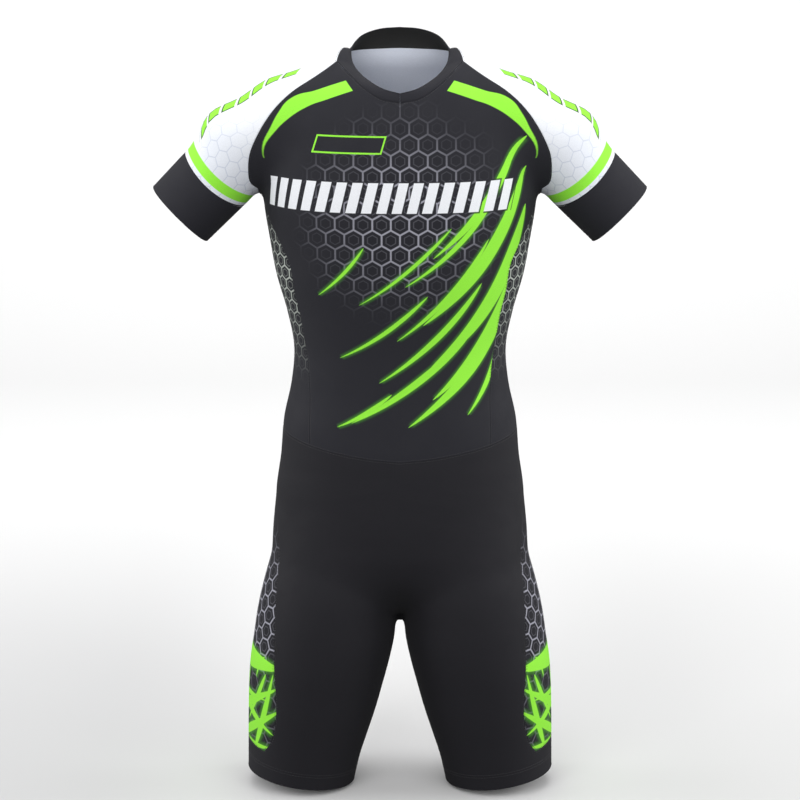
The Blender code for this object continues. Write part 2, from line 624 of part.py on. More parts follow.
    base = chain(neck_front, neck_side, neck_back)
    rim = along(RIM, len(base) - 1)
    rows = steps["collar"]
    band = np.array([base + (rim - base) * (k / rows) for k in range(rows + 1)])
    bow = np.zeros_like(band)
    outward = facing(base)
    fullness = np.interp(base[:, 1], (-0.085, -0.030), (0.0008, 0.0022))[:, None]
    for k in range(1, rows):
        share = k / rows
        bow[k] = outward * fullness * 4 * share * (1 - share)
    band = band + bow
    run = np.gradient(band, axis=1)
    rise = np.gradient(band, axis=0)
    out = np.cross(run, rise)
    out /= np.linalg.norm(out, axis=2)[..., None]
    out *= np.sign(float(np.dot(out[0, 0], outward[0])))
    out[:, 0, 0] = 0.0
    out[:, -1, 0] = 0.0
    out /= np.linalg.norm(out, axis=2)[..., None]
    out[0] = outward
    band[:, 0, 0] = 0.0
    band[:, -1, 0] = 0.0
    wearer_right = mirrored(band)
    out_right = mirrored(out)
    collar = Cloth()
    collar.add(band[:, ::-1], out[:, ::-1])
    collar.part_from(band[:, 0])
    collar.add(wearer_right[:, ::-1], out_right[:, ::-1])
    collar.solid("collar")


build()
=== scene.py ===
"""Looks of a short speed skating suit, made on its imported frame. Metres, Z up, the front looks along -Y."""

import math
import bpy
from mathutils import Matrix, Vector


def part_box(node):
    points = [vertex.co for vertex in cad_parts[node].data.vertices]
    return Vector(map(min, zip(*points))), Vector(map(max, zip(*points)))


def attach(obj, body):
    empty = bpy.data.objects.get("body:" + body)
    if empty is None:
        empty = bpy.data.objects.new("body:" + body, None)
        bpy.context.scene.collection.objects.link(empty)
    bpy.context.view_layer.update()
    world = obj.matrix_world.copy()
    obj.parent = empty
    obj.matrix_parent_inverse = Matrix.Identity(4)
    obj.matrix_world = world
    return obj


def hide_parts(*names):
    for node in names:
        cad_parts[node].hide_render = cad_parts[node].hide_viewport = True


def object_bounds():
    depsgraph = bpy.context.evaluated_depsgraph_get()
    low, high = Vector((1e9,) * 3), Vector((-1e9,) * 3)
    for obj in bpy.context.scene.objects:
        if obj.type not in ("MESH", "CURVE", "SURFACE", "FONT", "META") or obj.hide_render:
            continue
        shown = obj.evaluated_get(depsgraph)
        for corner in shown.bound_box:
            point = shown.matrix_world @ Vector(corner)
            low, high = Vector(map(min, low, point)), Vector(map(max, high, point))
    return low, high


bl_info = {
    "name": "Speed skating suit",
    "version": (1, 0, 0),
    "blender": (4, 5, 0),
    "location": "View3D > Sidebar > Suit",
    "description": "Makes a short speed skating suit, filled out with no wearer, on its packed frame",
    "category": "Object",
}

import bmesh
import bpy
import numpy as np
from bpy.props import FloatProperty, FloatVectorProperty, IntProperty, PointerProperty
from bpy.types import Operator, Panel, PropertyGroup
from mathutils import Matrix, Vector

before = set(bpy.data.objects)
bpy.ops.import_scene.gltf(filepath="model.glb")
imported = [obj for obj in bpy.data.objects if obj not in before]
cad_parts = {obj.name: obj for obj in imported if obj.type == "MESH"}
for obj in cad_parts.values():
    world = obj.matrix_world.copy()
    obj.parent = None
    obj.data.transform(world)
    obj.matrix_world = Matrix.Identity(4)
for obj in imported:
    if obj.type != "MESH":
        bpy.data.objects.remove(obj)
CAD_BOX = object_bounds()

WALL = 0.0020
BLEND_HIP, BLEND_LEGS = 0.028, 0.006

# How softly the arm grows out of the trunk: height, width of the blend.
ARM_BLEND = ((-0.165, 0.018), (-0.115, 0.030))

# Level sections of the trunk: height, half width, depth in front, depth behind, squareness.
TRUNK = (
    (0.050, 0.050, 0.034, 0.048, 2.0),
    (0.020, 0.0605, 0.044, 0.056, 2.0),
    (0.0055, 0.0680, 0.050, 0.060, 2.0),
    (0.002, 0.0770, 0.053, 0.062, 2.0),
    (-0.010, 0.098, 0.061, 0.064, 2.0),
    (-0.022, 0.122, 0.070, 0.068, 2.0),
    (-0.036, 0.148, 0.080, 0.076, 2.05),
    (-0.060, 0.162, 0.092, 0.089, 2.15),
    (-0.100, 0.1675, 0.103, 0.105, 2.3),
    (-0.140, 0.1710, 0.110, 0.110, 2.35),
    (-0.183, 0.1690, 0.114, 0.110, 2.35),
    (-0.229, 0.1622, 0.112, 0.104, 2.3),
    (-0.275, 0.1541, 0.107, 0.096, 2.3),
    (-0.321, 0.1413, 0.101, 0.088, 2.3),
    (-0.368, 0.1328, 0.097, 0.083, 2.25),
    (-0.415, 0.1363, 0.097, 0.083, 2.2),
    (-0.462, 0.1462, 0.100, 0.090, 2.2),
    (-0.509, 0.1504, 0.102, 0.101, 2.2),
    (-0.557, 0.1568, 0.102, 0.112, 2.2),
    (-0.605, 0.1560, 0.099, 0.118, 2.2),
    (-0.637, 0.1500, 0.093, 0.115, 2.2),
    (-0.668, 0.1330, 0.077, 0.099, 2.1),
    (-0.690, 0.1020, 0.055, 0.073, 2.0),
    (-0.706, 0.0600, 0.032, 0.042, 2.0),
    (-0.715, 0.0240, 0.014, 0.018, 2.0),
    (-0.719, 0.0050, 0.005, 0.005, 2.0),
)

# Sections across a sleeve: distance from the cuff's end, radius up, lift of its centre, depth.
ARM = (
    (-0.270, 0.0080, 0.000, 0.020),
    (-0.240, 0.0180, 0.000, 0.040),
    (-0.200, 0.0430, 0.000, 0.058),
    (-0.160, 0.0505, 0.001, 0.064),
    (-0.110, 0.0558, 0.0082, 0.062),
    (-0.090, 0.0510, 0.0045, 0.058),
    (-0.0665, 0.0485, 0.0015, 0.052),
    (0.000, 0.0470, 0.0005, 0.050),
    (0.040, 0.0470, 0.0005, 0.050),
)
CUFF_END = (0.2740, 0.000, -0.2000)
ARM_SLOPE = math.radians(44.7)
CUFF_LENGTH = 0.0650
CUFF_BOW = 0.0065
CUFF_TILT = 0.0060

# Level sections of a leg: height, distance of its centre from the middle, half width, depth in
# front, depth behind.
LEG = (
    (-0.520, 0.070, 0.020, 0.030, 0.030),
    (-0.560, 0.072, 0.058, 0.062, 0.070),
    (-0.600, 0.0765, 0.0740, 0.080, 0.093),
    (-0.637, 0.0815, 0.0790, 0.090, 0.105),
    (-0.6532, 0.0845, 0.0820, 0.0935, 0.107),
    (-0.6852, 0.0895, 0.0860, 0.098, 0.109),
    (-0.7176, 0.0945, 0.0881, 0.099, 0.106),
    (-0.7501, 0.0976, 0.0898, 0.098, 0.102),
    (-0.7827, 0.1033, 0.0890, 0.095, 0.097),
    (-0.8154, 0.1087, 0.0859, 0.090, 0.092),
    (-0.8482, 0.1137, 0.0819, 0.085, 0.086),
    (-0.8812, 0.1192, 0.0769, 0.079, 0.080),
    (-0.9143, 0.1246, 0.0718, 0.074, 0.075),
    (-0.9475, 0.1288, 0.0685, 0.070, 0.071),
    (-0.9800, 0.1320, 0.0660, 0.067, 0.068),
)
HEM_MIDDLE = (0.1270, -0.9385)
HEM_SLOPE = 0.140

# Seams of the wearer's left half, as the places they pass. Each is laid on the figure.
SEAMS = {
    "neck_front": ((0.0, -0.088, -0.047), (0.022, -0.085, -0.043), (0.045, -0.072, -0.031),
                   (0.064, -0.052, -0.016), (0.0774, -0.030, -0.0047)),
    "neck_side": ((0.0774, -0.030, -0.0047), (0.0735, -0.010, 0.0034), (0.0692, 0.014, 0.0050),
                  (0.0640, 0.044, 0.0005)),
    "neck_back": ((0.0640, 0.044, 0.0005), (0.046, 0.054, 0.000), (0.024, 0.062, -0.0005),
                  (0.0, 0.064, -0.0005)),
    "raglan_front": ((0.0774, -0.030, -0.0047), (0.1000, -0.041, -0.0195), (0.1285, -0.052, -0.0365),
                     (0.1570, -0.0605, -0.0625), (0.1735, -0.0637, -0.0880),
                     (0.1853, -0.061, -0.1160), (0.1873, -0.055, -0.1340),
                     (0.1860, -0.046, -0.1510), (0.1765, -0.030, -0.1635)),
    "raglan_back": ((0.0640, 0.044, 0.0005), (0.0920, 0.058, -0.022), (0.1220, 0.070, -0.045),
                    (0.1520, 0.075, -0.075), (0.1740, 0.069, -0.115), (0.1820, 0.054, -0.140),
                    (0.1765, 0.030, -0.1635)),
    "armpit": ((0.1765, -0.030, -0.1635), (0.1765, 0.000, -0.1690), (0.1765, 0.030, -0.1635)),
    "side_front": ((0.1765, -0.030, -0.1635), (0.1665, -0.034, -0.1900), (0.1460, -0.0565, -0.2290),
                   (0.1374, -0.064, -0.2480), (0.1303, -0.0607, -0.2890),
                   (0.1232, -0.0575, -0.3190), (0.1185, -0.0535, -0.3520),
                   (0.1135, -0.055, -0.3800), (0.1122, -0.0588, -0.4070),
                   (0.1120, -0.0645, -0.4380), (0.1120, -0.070, -0.4815)),
    "side_back": ((0.1765, 0.030, -0.1635), (0.1650, 0.038, -0.1920), (0.1470, 0.056, -0.2350),
                  (0.1320, 0.062, -0.2881), (0.1200, 0.058, -0.3400), (0.1150, 0.054, -0.3900),
                  (0.1140, 0.058, -0.4300), (0.1150, 0.064, -0.4690)),
    "front_middle": ((0.0, -0.088, -0.047), (0.0, -0.103, -0.100), (0.0, -0.113, -0.180),
                     (0.0, -0.107, -0.280), (0.0, -0.098, -0.380), (0.0, -0.102, -0.4962)),
    "back_middle": ((0.0, 0.064, -0.0005), (0.0, 0.095, -0.060), (0.0, 0.110, -0.160),
                    (0.0, 0.096, -0.280), (0.0, 0.083, -0.390), (0.0, 0.090, -0.4650)),
    "waist_front": ((0.0, -0.102, -0.4962), (0.040, -0.099, -0.4930), (0.0773, -0.088, -0.4880),
                    (0.1117, -0.070, -0.4825)),
    "waist_side": ((0.1117, -0.070, -0.4825), (0.137, -0.036, -0.4765), (0.1478, 0.000, -0.4735),
                   (0.139, 0.036, -0.4710), (0.1150, 0.064, -0.4690)),
    "waist_back": ((0.1150, 0.064, -0.4690), (0.080, 0.082, -0.4670), (0.040, 0.090, -0.4655),
                   (0.0, 0.092, -0.4650)),
    "belly_middle": ((0.0, -0.102, -0.4962), (0.0, -0.105, -0.560), (0.0, -0.098, -0.620),
                     (0.0, -0.078, -0.670), (0.0, -0.045, -0.705), (0.0, 0.000, -0.728)),
    "seat_middle": ((0.0, 0.092, -0.4650), (0.0, 0.110, -0.540), (0.0, 0.116, -0.610),
                    (0.0, 0.098, -0.665), (0.0, 0.055, -0.705), (0.0, 0.000, -0.728)),
    "inside_leg": ((0.0, 0.000, -0.728), (0.0090, 0.000, -0.757), (0.0188, 0.000, -0.799),
                   (0.0318, 0.000, -0.848), (0.0423, 0.000, -0.881), (0.0505, 0.000, -0.911),
                   (0.0600, 0.000, -0.9480)),
    "groin_front": ((0.0, 0.000, -0.728), (0.016, -0.034, -0.738), (0.044, -0.072, -0.748),
                    (0.090, -0.095, -0.754), (0.130, -0.090, -0.755), (0.1602, -0.068, -0.7546)),
    "groin_back": ((0.0, 0.000, -0.728), (0.016, 0.036, -0.738), (0.044, 0.078, -0.748),
                   (0.090, 0.100, -0.754), (0.130, 0.094, -0.755), (0.1602, 0.070, -0.7546)),
    "inset_foot": ((0.1740, -0.054, -0.8935), (0.1917, -0.0265, -0.8885), (0.1965, 0.000, -0.8875),
                   (0.1917, 0.0265, -0.8885), (0.1740, 0.054, -0.8935)),
}
INSET_FRONT = ((0.1560, -0.0065, -0.5300), (0.1585, -0.0090, -0.5680),
               (0.1553, -0.0285, -0.5913), (0.1535, -0.0386, -0.6140),
               (0.1536, -0.0466, -0.6443), (0.1574, -0.0624, -0.6925),
               (0.1595, -0.0720, -0.7640), (0.1600, -0.0690, -0.8570),
               (0.1640, -0.0640, -0.8760), (0.1740, -0.0540, -0.8935))
INSET_BACK = ((0.1560, 0.0065, -0.5300), (0.1585, 0.0090, -0.5680), (0.1553, 0.0300, -0.5913),
              (0.1535, 0.0420, -0.6140), (0.1536, 0.0520, -0.6443), (0.1574, 0.0680, -0.6925),
              (0.1595, 0.0750, -0.7640), (0.1600, 0.0700, -0.8570), (0.1640, 0.0650, -0.8760),
              (0.1740, 0.0540, -0.8935))
RIM = ((0.0, -0.0835, -0.0368), (0.018, -0.079, -0.0328), (0.0392, -0.060, -0.0240),
       (0.0530, -0.036, -0.0150), (0.0605, -0.006, -0.0040), (0.0580, 0.022, 0.0080),
       (0.0460, 0.042, 0.0180), (0.0240, 0.054, 0.0240), (0.0, 0.057, 0.0255))
INSET_TOP = 0.26
ZIP_BOTTOM = -0.430
ZIP_WIDTH = 0.024
ZIP_SHOWS = -0.098

# Mesh spaces along each stretch of seam, before they are made finer.
STEPS = {"neck": 8, "neck_side": 4, "raglan": 10, "armpit": 6, "side": 15, "waist_side": 6,
         "inset_upper": 13, "inset_lower": 8, "foot": 6, "hem_rows": 2, "sleeve": 7, "cuff": 3,
         "collar": 2}

# Edges of the green shoulder stripe in front: outer and inner, from the neck to its tip.
STRIPE_OUTER = ((0.0657, -0.0612, -0.0241), (0.1037, -0.0599, -0.0366), (0.1319, -0.0584, -0.0455),
                (0.1479, -0.0624, -0.0622), (0.1609, -0.0650, -0.0852), (0.1697, -0.0614, -0.1193))
STRIPE_INNER = ((0.0570, -0.0732, -0.0346), (0.0900, -0.0716, -0.0459), (0.1134, -0.0678, -0.0551),
                (0.1367, -0.0672, -0.0700), (0.1556, -0.0657, -0.0890), (0.1692, -0.0616, -0.1190))

# Green slashes on the front: start across and up, end across and up, bow, half width.
FRONT_SLASHES = (
    (0.146, -0.090, 0.040, -0.236, 0.012, 0.0052),
    (0.158, -0.128, 0.028, -0.322, 0.018, 0.0082),
    (0.164, -0.176, 0.038, -0.376, 0.020, 0.0098),
    (0.160, -0.228, 0.040, -0.418, 0.018, 0.0086),
    (0.152, -0.286, 0.010, -0.452, 0.014, 0.0066),
    (0.116, -0.158, 0.006, -0.272, 0.010, 0.0030),
    (0.108, -0.214, -0.004, -0.342, 0.010, 0.0032),
    (0.100, -0.270, -0.026, -0.396, 0.010, 0.0036),
    (0.088, -0.334, -0.060, -0.448, 0.008, 0.0044),
    (0.062, -0.198, -0.050, -0.296, 0.006, 0.0022),
    (0.034, -0.284, -0.074, -0.366, 0.006, 0.0026),
    (-0.044, -0.222, -0.100, -0.286, 0.004, 0.0020),
    (-0.010, -0.410, -0.078, -0.454, 0.003, 0.0024),
    (0.140, -0.340, 0.084, -0.440, 0.006, 0.0040),
)
# Green slashes on a leg inset: round the leg and up for both ends, bow, half width.
INSET_SLASHES = (
    (-0.096, -0.786, 0.096, -0.776, 0.005, 0.0150),
    (-0.092, -0.800, 0.078, -0.868, 0.006, 0.0078),
    (-0.084, -0.874, 0.090, -0.800, -0.006, 0.0076),
    (-0.092, -0.826, 0.018, -0.892, 0.004, 0.0056),
    (-0.024, -0.892, 0.092, -0.830, -0.004, 0.0058),
    (-0.078, -0.896, -0.040, -0.782, 0.004, 0.0046),
    (0.038, -0.896, 0.080, -0.782, -0.004, 0.0046),
    (-0.016, -0.894, 0.020, -0.780, 0.003, 0.0040),
    (-0.076, -0.888, 0.076, -0.886, -0.003, 0.0060),
    (-0.070, -0.838, 0.070, -0.822, 0.005, 0.0044),
    (-0.062, -0.786, -0.020, -0.850, -0.004, 0.0034),
    (0.066, -0.786, 0.016, -0.862, 0.004, 0.0034),
    (-0.074, -0.762, -0.050, -0.796, 0.003, 0.0026),
    (0.060, -0.764, 0.044, -0.796, -0.003, 0.0022),
)


def spread(keys, values, places):
    """Values of a smooth curve through a table's rows, at other places along it."""
    keys = np.asarray(keys, float)
    values = np.asarray(values, float)
    slopes = np.gradient(values, keys, axis=0)
    spot = np.clip(np.searchsorted(keys, places, side="right") - 1, 0, len(keys) - 2)
    span = keys[spot + 1] - keys[spot]
    t = np.clip((places - keys[spot]) / span, 0.0, 1.0)
    if values.ndim > 1:
        span = span[:, None]
        t = t[:, None]
    first, last = values[spot], values[spot + 1]
    bend_first, bend_last = slopes[spot] * span, slopes[spot + 1] * span
    return ((2 * t ** 3 - 3 * t ** 2 + 1) * first + (t ** 3 - 2 * t ** 2 + t) * bend_first
            + (3 * t ** 2 - 2 * t ** 3) * last + (t ** 3 - t ** 2) * bend_last)


def dense(table, count=700):
    """A table's columns read closely along its first one, in rising order."""
    rows = np.array(sorted(table), float)
    keys = np.linspace(rows[0, 0], rows[-1, 0], count)
    return keys, spread(rows[:, 0], rows[:, 1:], keys)


TRUNK_DENSE, ARM_DENSE, LEG_DENSE = dense(TRUNK), dense(ARM), dense(LEG)


def column(table, places, number):
    return np.interp(places, table[0], table[1][:, number])


def outside(across, along, radius, depth, power):
    """How far points lie outside a rounded section, less than zero within it."""
    reach = np.hypot(across, along)
    share = ((np.abs(across) / radius) ** power + (np.abs(along) / depth) ** power) ** (1 / power)
    middle = np.sqrt(radius * depth)
    return (share - 1.0) * (reach + 1e-5) / (share + 1e-5 / middle)


def join(first, second, blend):
    """The union of two forms with a soft valley between them."""
    mix = np.clip(0.5 + 0.5 * (second - first) / blend, 0.0, 1.0)
    return second + (first - second) * mix - blend * mix * (1.0 - mix)


def trunk(p):
    z = p[:, 2]
    deep = np.where(p[:, 1] < 0.0, column(TRUNK_DENSE, z, 1), column(TRUNK_DENSE, z, 2))
    form = outside(p[:, 0], p[:, 1], column(TRUNK_DENSE, z, 0), deep, column(TRUNK_DENSE, z, 3))
    return form + np.maximum(TRUNK_DENSE[0][0] - z, 0.0)


def on_arm(p):
    """Places along a sleeve, from its cuff's end, and up across it."""
    away = np.abs(p[:, 0]) - CUFF_END[0]
    down = p[:, 2] - CUFF_END[2]
    return (away * math.cos(ARM_SLOPE) - down * math.sin(ARM_SLOPE),
            away * math.sin(ARM_SLOPE) + down * math.cos(ARM_SLOPE))


def arm(p):
    along, up = on_arm(p)
    form = outside(up - column(ARM_DENSE, along, 1), p[:, 1], column(ARM_DENSE, along, 0),
                   column(ARM_DENSE, along, 2), 2.0)
    return form + np.maximum(ARM_DENSE[0][0] - along, 0.0)


def leg(p, hand):
    z = p[:, 2]
    deep = np.where(p[:, 1] < 0.0, column(LEG_DENSE, z, 2), column(LEG_DENSE, z, 3))
    form = outside(p[:, 0] - hand * column(LEG_DENSE, z, 0), p[:, 1],
                   column(LEG_DENSE, z, 1), deep, 2.0)
    return form + np.maximum(z - LEG_DENSE[0][-1], 0.0)


def figure(p):
    """The general figure that the suit is cut for, zero on the middle of the cloth."""
    heights, blends = np.array(ARM_BLEND).T
    upper = join(trunk(p), arm(p), np.interp(p[:, 2], heights, blends))
    lower = join(leg(p, 1.0), leg(p, -1.0), BLEND_LEGS)
    return join(upper, lower, BLEND_HIP)


def slope(p, step=0.0004):
    """The figure's slope at points, by small steps to each side."""
    result = np.empty_like(p)
    for axis in range(3):
        shift = np.zeros(3)
        shift[axis] = step
        result[:, axis] = (figure(p + shift) - figure(p - shift)) / (2 * step)
    return result


def lay(points, level=False, rounds=9):
    """Points moved onto the figure. Level ones keep their height."""
    flat = np.array(points, float).reshape(-1, 3)
    for _ in range(rounds):
        grade = slope(flat)
        if level:
            grade[:, 2] = 0.0
        size = np.maximum((grade ** 2).sum(axis=1), 0.05)
        move = figure(flat)[:, None] * grade / size[:, None]
        length = np.linalg.norm(move, axis=1)
        flat = flat - move * np.minimum(1.0, 0.03 / np.maximum(length, 1e-9))[:, None]
    return flat.reshape(np.shape(points))


def facing(points):
    """Directions straight out of the cloth."""
    grade = slope(np.asarray(points, float).reshape(-1, 3))
    grade /= np.linalg.norm(grade, axis=1)[:, None]
    return grade.reshape(np.shape(points))


def lengths(points):
    return np.concatenate([[0.0], np.cumsum(np.linalg.norm(np.diff(points, axis=0), axis=1))])


def evenly(points, count):
    """The same line with even steps."""
    keys = lengths(points)
    places = np.linspace(0.0, keys[-1], count + 1)
    return np.stack([np.interp(places, keys, points[:, axis]) for axis in range(3)], axis=1)


def along(points, count):
    """Even steps along a smooth curve through a few places."""
    points = np.asarray(points, float)
    keys = lengths(points)
    return evenly(spread(keys, points, np.linspace(0.0, keys[-1], 480)), count)


def seam(points, count, level=False):
    """A seam on the figure, in even steps."""
    return lay(evenly(lay(along(points, 120), level), count), level, 3)


def chain(*stretches):
    """Seams joined end to end into one."""
    return np.concatenate([stretches[0]] + [stretch[1:] for stretch in stretches[1:]])


def finer(line, count):
    """The same chords with more points on them."""
    keys = np.linspace(0.0, 1.0, len(line))
    places = np.linspace(0.0, 1.0, count + 1)
    return np.stack([np.interp(places, keys, line[:, axis]) for axis in range(3)], axis=1)


def field(top, bottom, first, last, relax=16, level=False):
    """A lattice of points within four seams, evened out on the figure."""
    rows, cols = len(first), len(top)
    u = np.linspace(0.0, 1.0, cols)[None, :, None]
    v = np.linspace(0.0, 1.0, rows)[:, None, None]
    grid = ((1 - v) * top[None] + v * bottom[None] + (1 - u) * first[:, None]
            + u * last[:, None] - (1 - u) * (1 - v) * top[0] - u * (1 - v) * top[-1]
            - (1 - u) * v * bottom[0] - u * v * bottom[-1])
    grid[1:-1, 1:-1] = lay(grid[1:-1, 1:-1], level)
    for _ in range(relax):
        mean = (grid[:-2, 1:-1] + grid[2:, 1:-1] + grid[1:-1, :-2] + grid[1:-1, 2:]) / 4
        grid[1:-1, 1:-1] = lay(0.4 * grid[1:-1, 1:-1] + 0.6 * mean, level, 1)
    grid[1:-1, 1:-1] = lay(grid[1:-1, 1:-1], level, 5)
    return grid


def mirrored(grid):
    """A lattice on the other side of the suit, with its rows reversed."""
    other = grid[:, ::-1].copy()
    other[..., 0] *= -1.0
    return other


def other_side(line):
    """A line on the other side of the suit."""
    return np.asarray(line) * (-1.0, 1.0, 1.0)


def around_trunk(p):
    """Cloth coordinates on the trunk: round it from the front's middle, and up."""
    half = column(TRUNK_DENSE, p[:, 2], 0)
    front = column(TRUNK_DENSE, p[:, 2], 1)
    behind = column(TRUNK_DENSE, p[:, 2], 2)
    deep = np.where(p[:, 1] < 0.0, front, behind)
    turn = np.arctan2(p[:, 0] / half, -p[:, 1] / deep)
    walked = np.zeros(len(p))
    steps = 24
    for k in range(steps):
        t = turn * (k + 0.5) / steps
        depth = np.where(np.abs(t) < math.pi / 2, front, behind)
        walked += np.hypot(half * np.cos(t), depth * np.sin(t)) * turn / steps
    return np.stack([walked, p[:, 2], np.zeros(len(p))], axis=1)


def around_leg(p):
    """Cloth coordinates on a leg: round it from its outside, forward first, and up."""
    hand = np.where(p[:, 0] < 0.0, -1.0, 1.0)
    away = hand * p[:, 0] - column(LEG_DENSE, p[:, 2], 0)
    half = column(LEG_DENSE, p[:, 2], 1)
    deep = column(LEG_DENSE, p[:, 2], 2)
    turn = np.arctan2(p[:, 1] / deep, away / half)
    return np.stack([-turn * 0.5 * (half + deep), p[:, 2], hand], axis=1)


def around_arm(p):
    """Cloth coordinates on a sleeve: round it from its top, forward first, then along, and above the cuff."""
    along_arm, up = on_arm(p)
    size, deep = column(ARM_DENSE, along_arm, 0), column(ARM_DENSE, along_arm, 2)
    turn = np.arctan2(-p[:, 1] / deep, (up - column(ARM_DENSE, along_arm, 1)) / size)
    above = (CUFF_BOW * np.sin(turn) ** 2 + 0.5 * CUFF_TILT * (1.0 + np.cos(turn)) - CUFF_LENGTH
             - along_arm)
    return np.stack([turn * 0.054, along_arm, above], axis=1)


def hem_line(start, end, count):
    """Part of a leg's hem, by its angle round the leg in degrees from the outside."""
    turns = np.radians(np.linspace(start, end, count + 1))
    points = np.stack([HEM_MIDDLE[0] + 0.0695 * np.cos(turns), 0.071 * np.sin(turns),
                       np.zeros(count + 1)], axis=1)
    for _ in range(3):
        points[:, 2] = HEM_MIDDLE[1] + HEM_SLOPE * (points[:, 0] - HEM_MIDDLE[0])
        points = lay(points, True)
    return points


def cuff_ring(distance, count, bow=0.0, tilt=0.0):
    """A ring round the sleeve, from under the arm over its front."""
    ahead = np.array([math.cos(ARM_SLOPE), 0.0, -math.sin(ARM_SLOPE)])
    upward = np.array([math.sin(ARM_SLOPE), 0.0, math.cos(ARM_SLOPE)])
    size, lift, deep = (float(column(ARM_DENSE, distance, number)) for number in range(3))
    turns = np.linspace(0.0, 2 * math.pi, count + 1)
    return (np.array(CUFF_END) + distance * ahead - (size * np.cos(turns) - lift)[:, None] * upward
            + (bow * np.sin(turns) ** 2 + 0.5 * tilt * (1.0 - np.cos(turns)))[:, None] * ahead
            - deep * np.sin(turns)[:, None] * np.array([0.0, 1.0, 0.0]))


CUT = {}


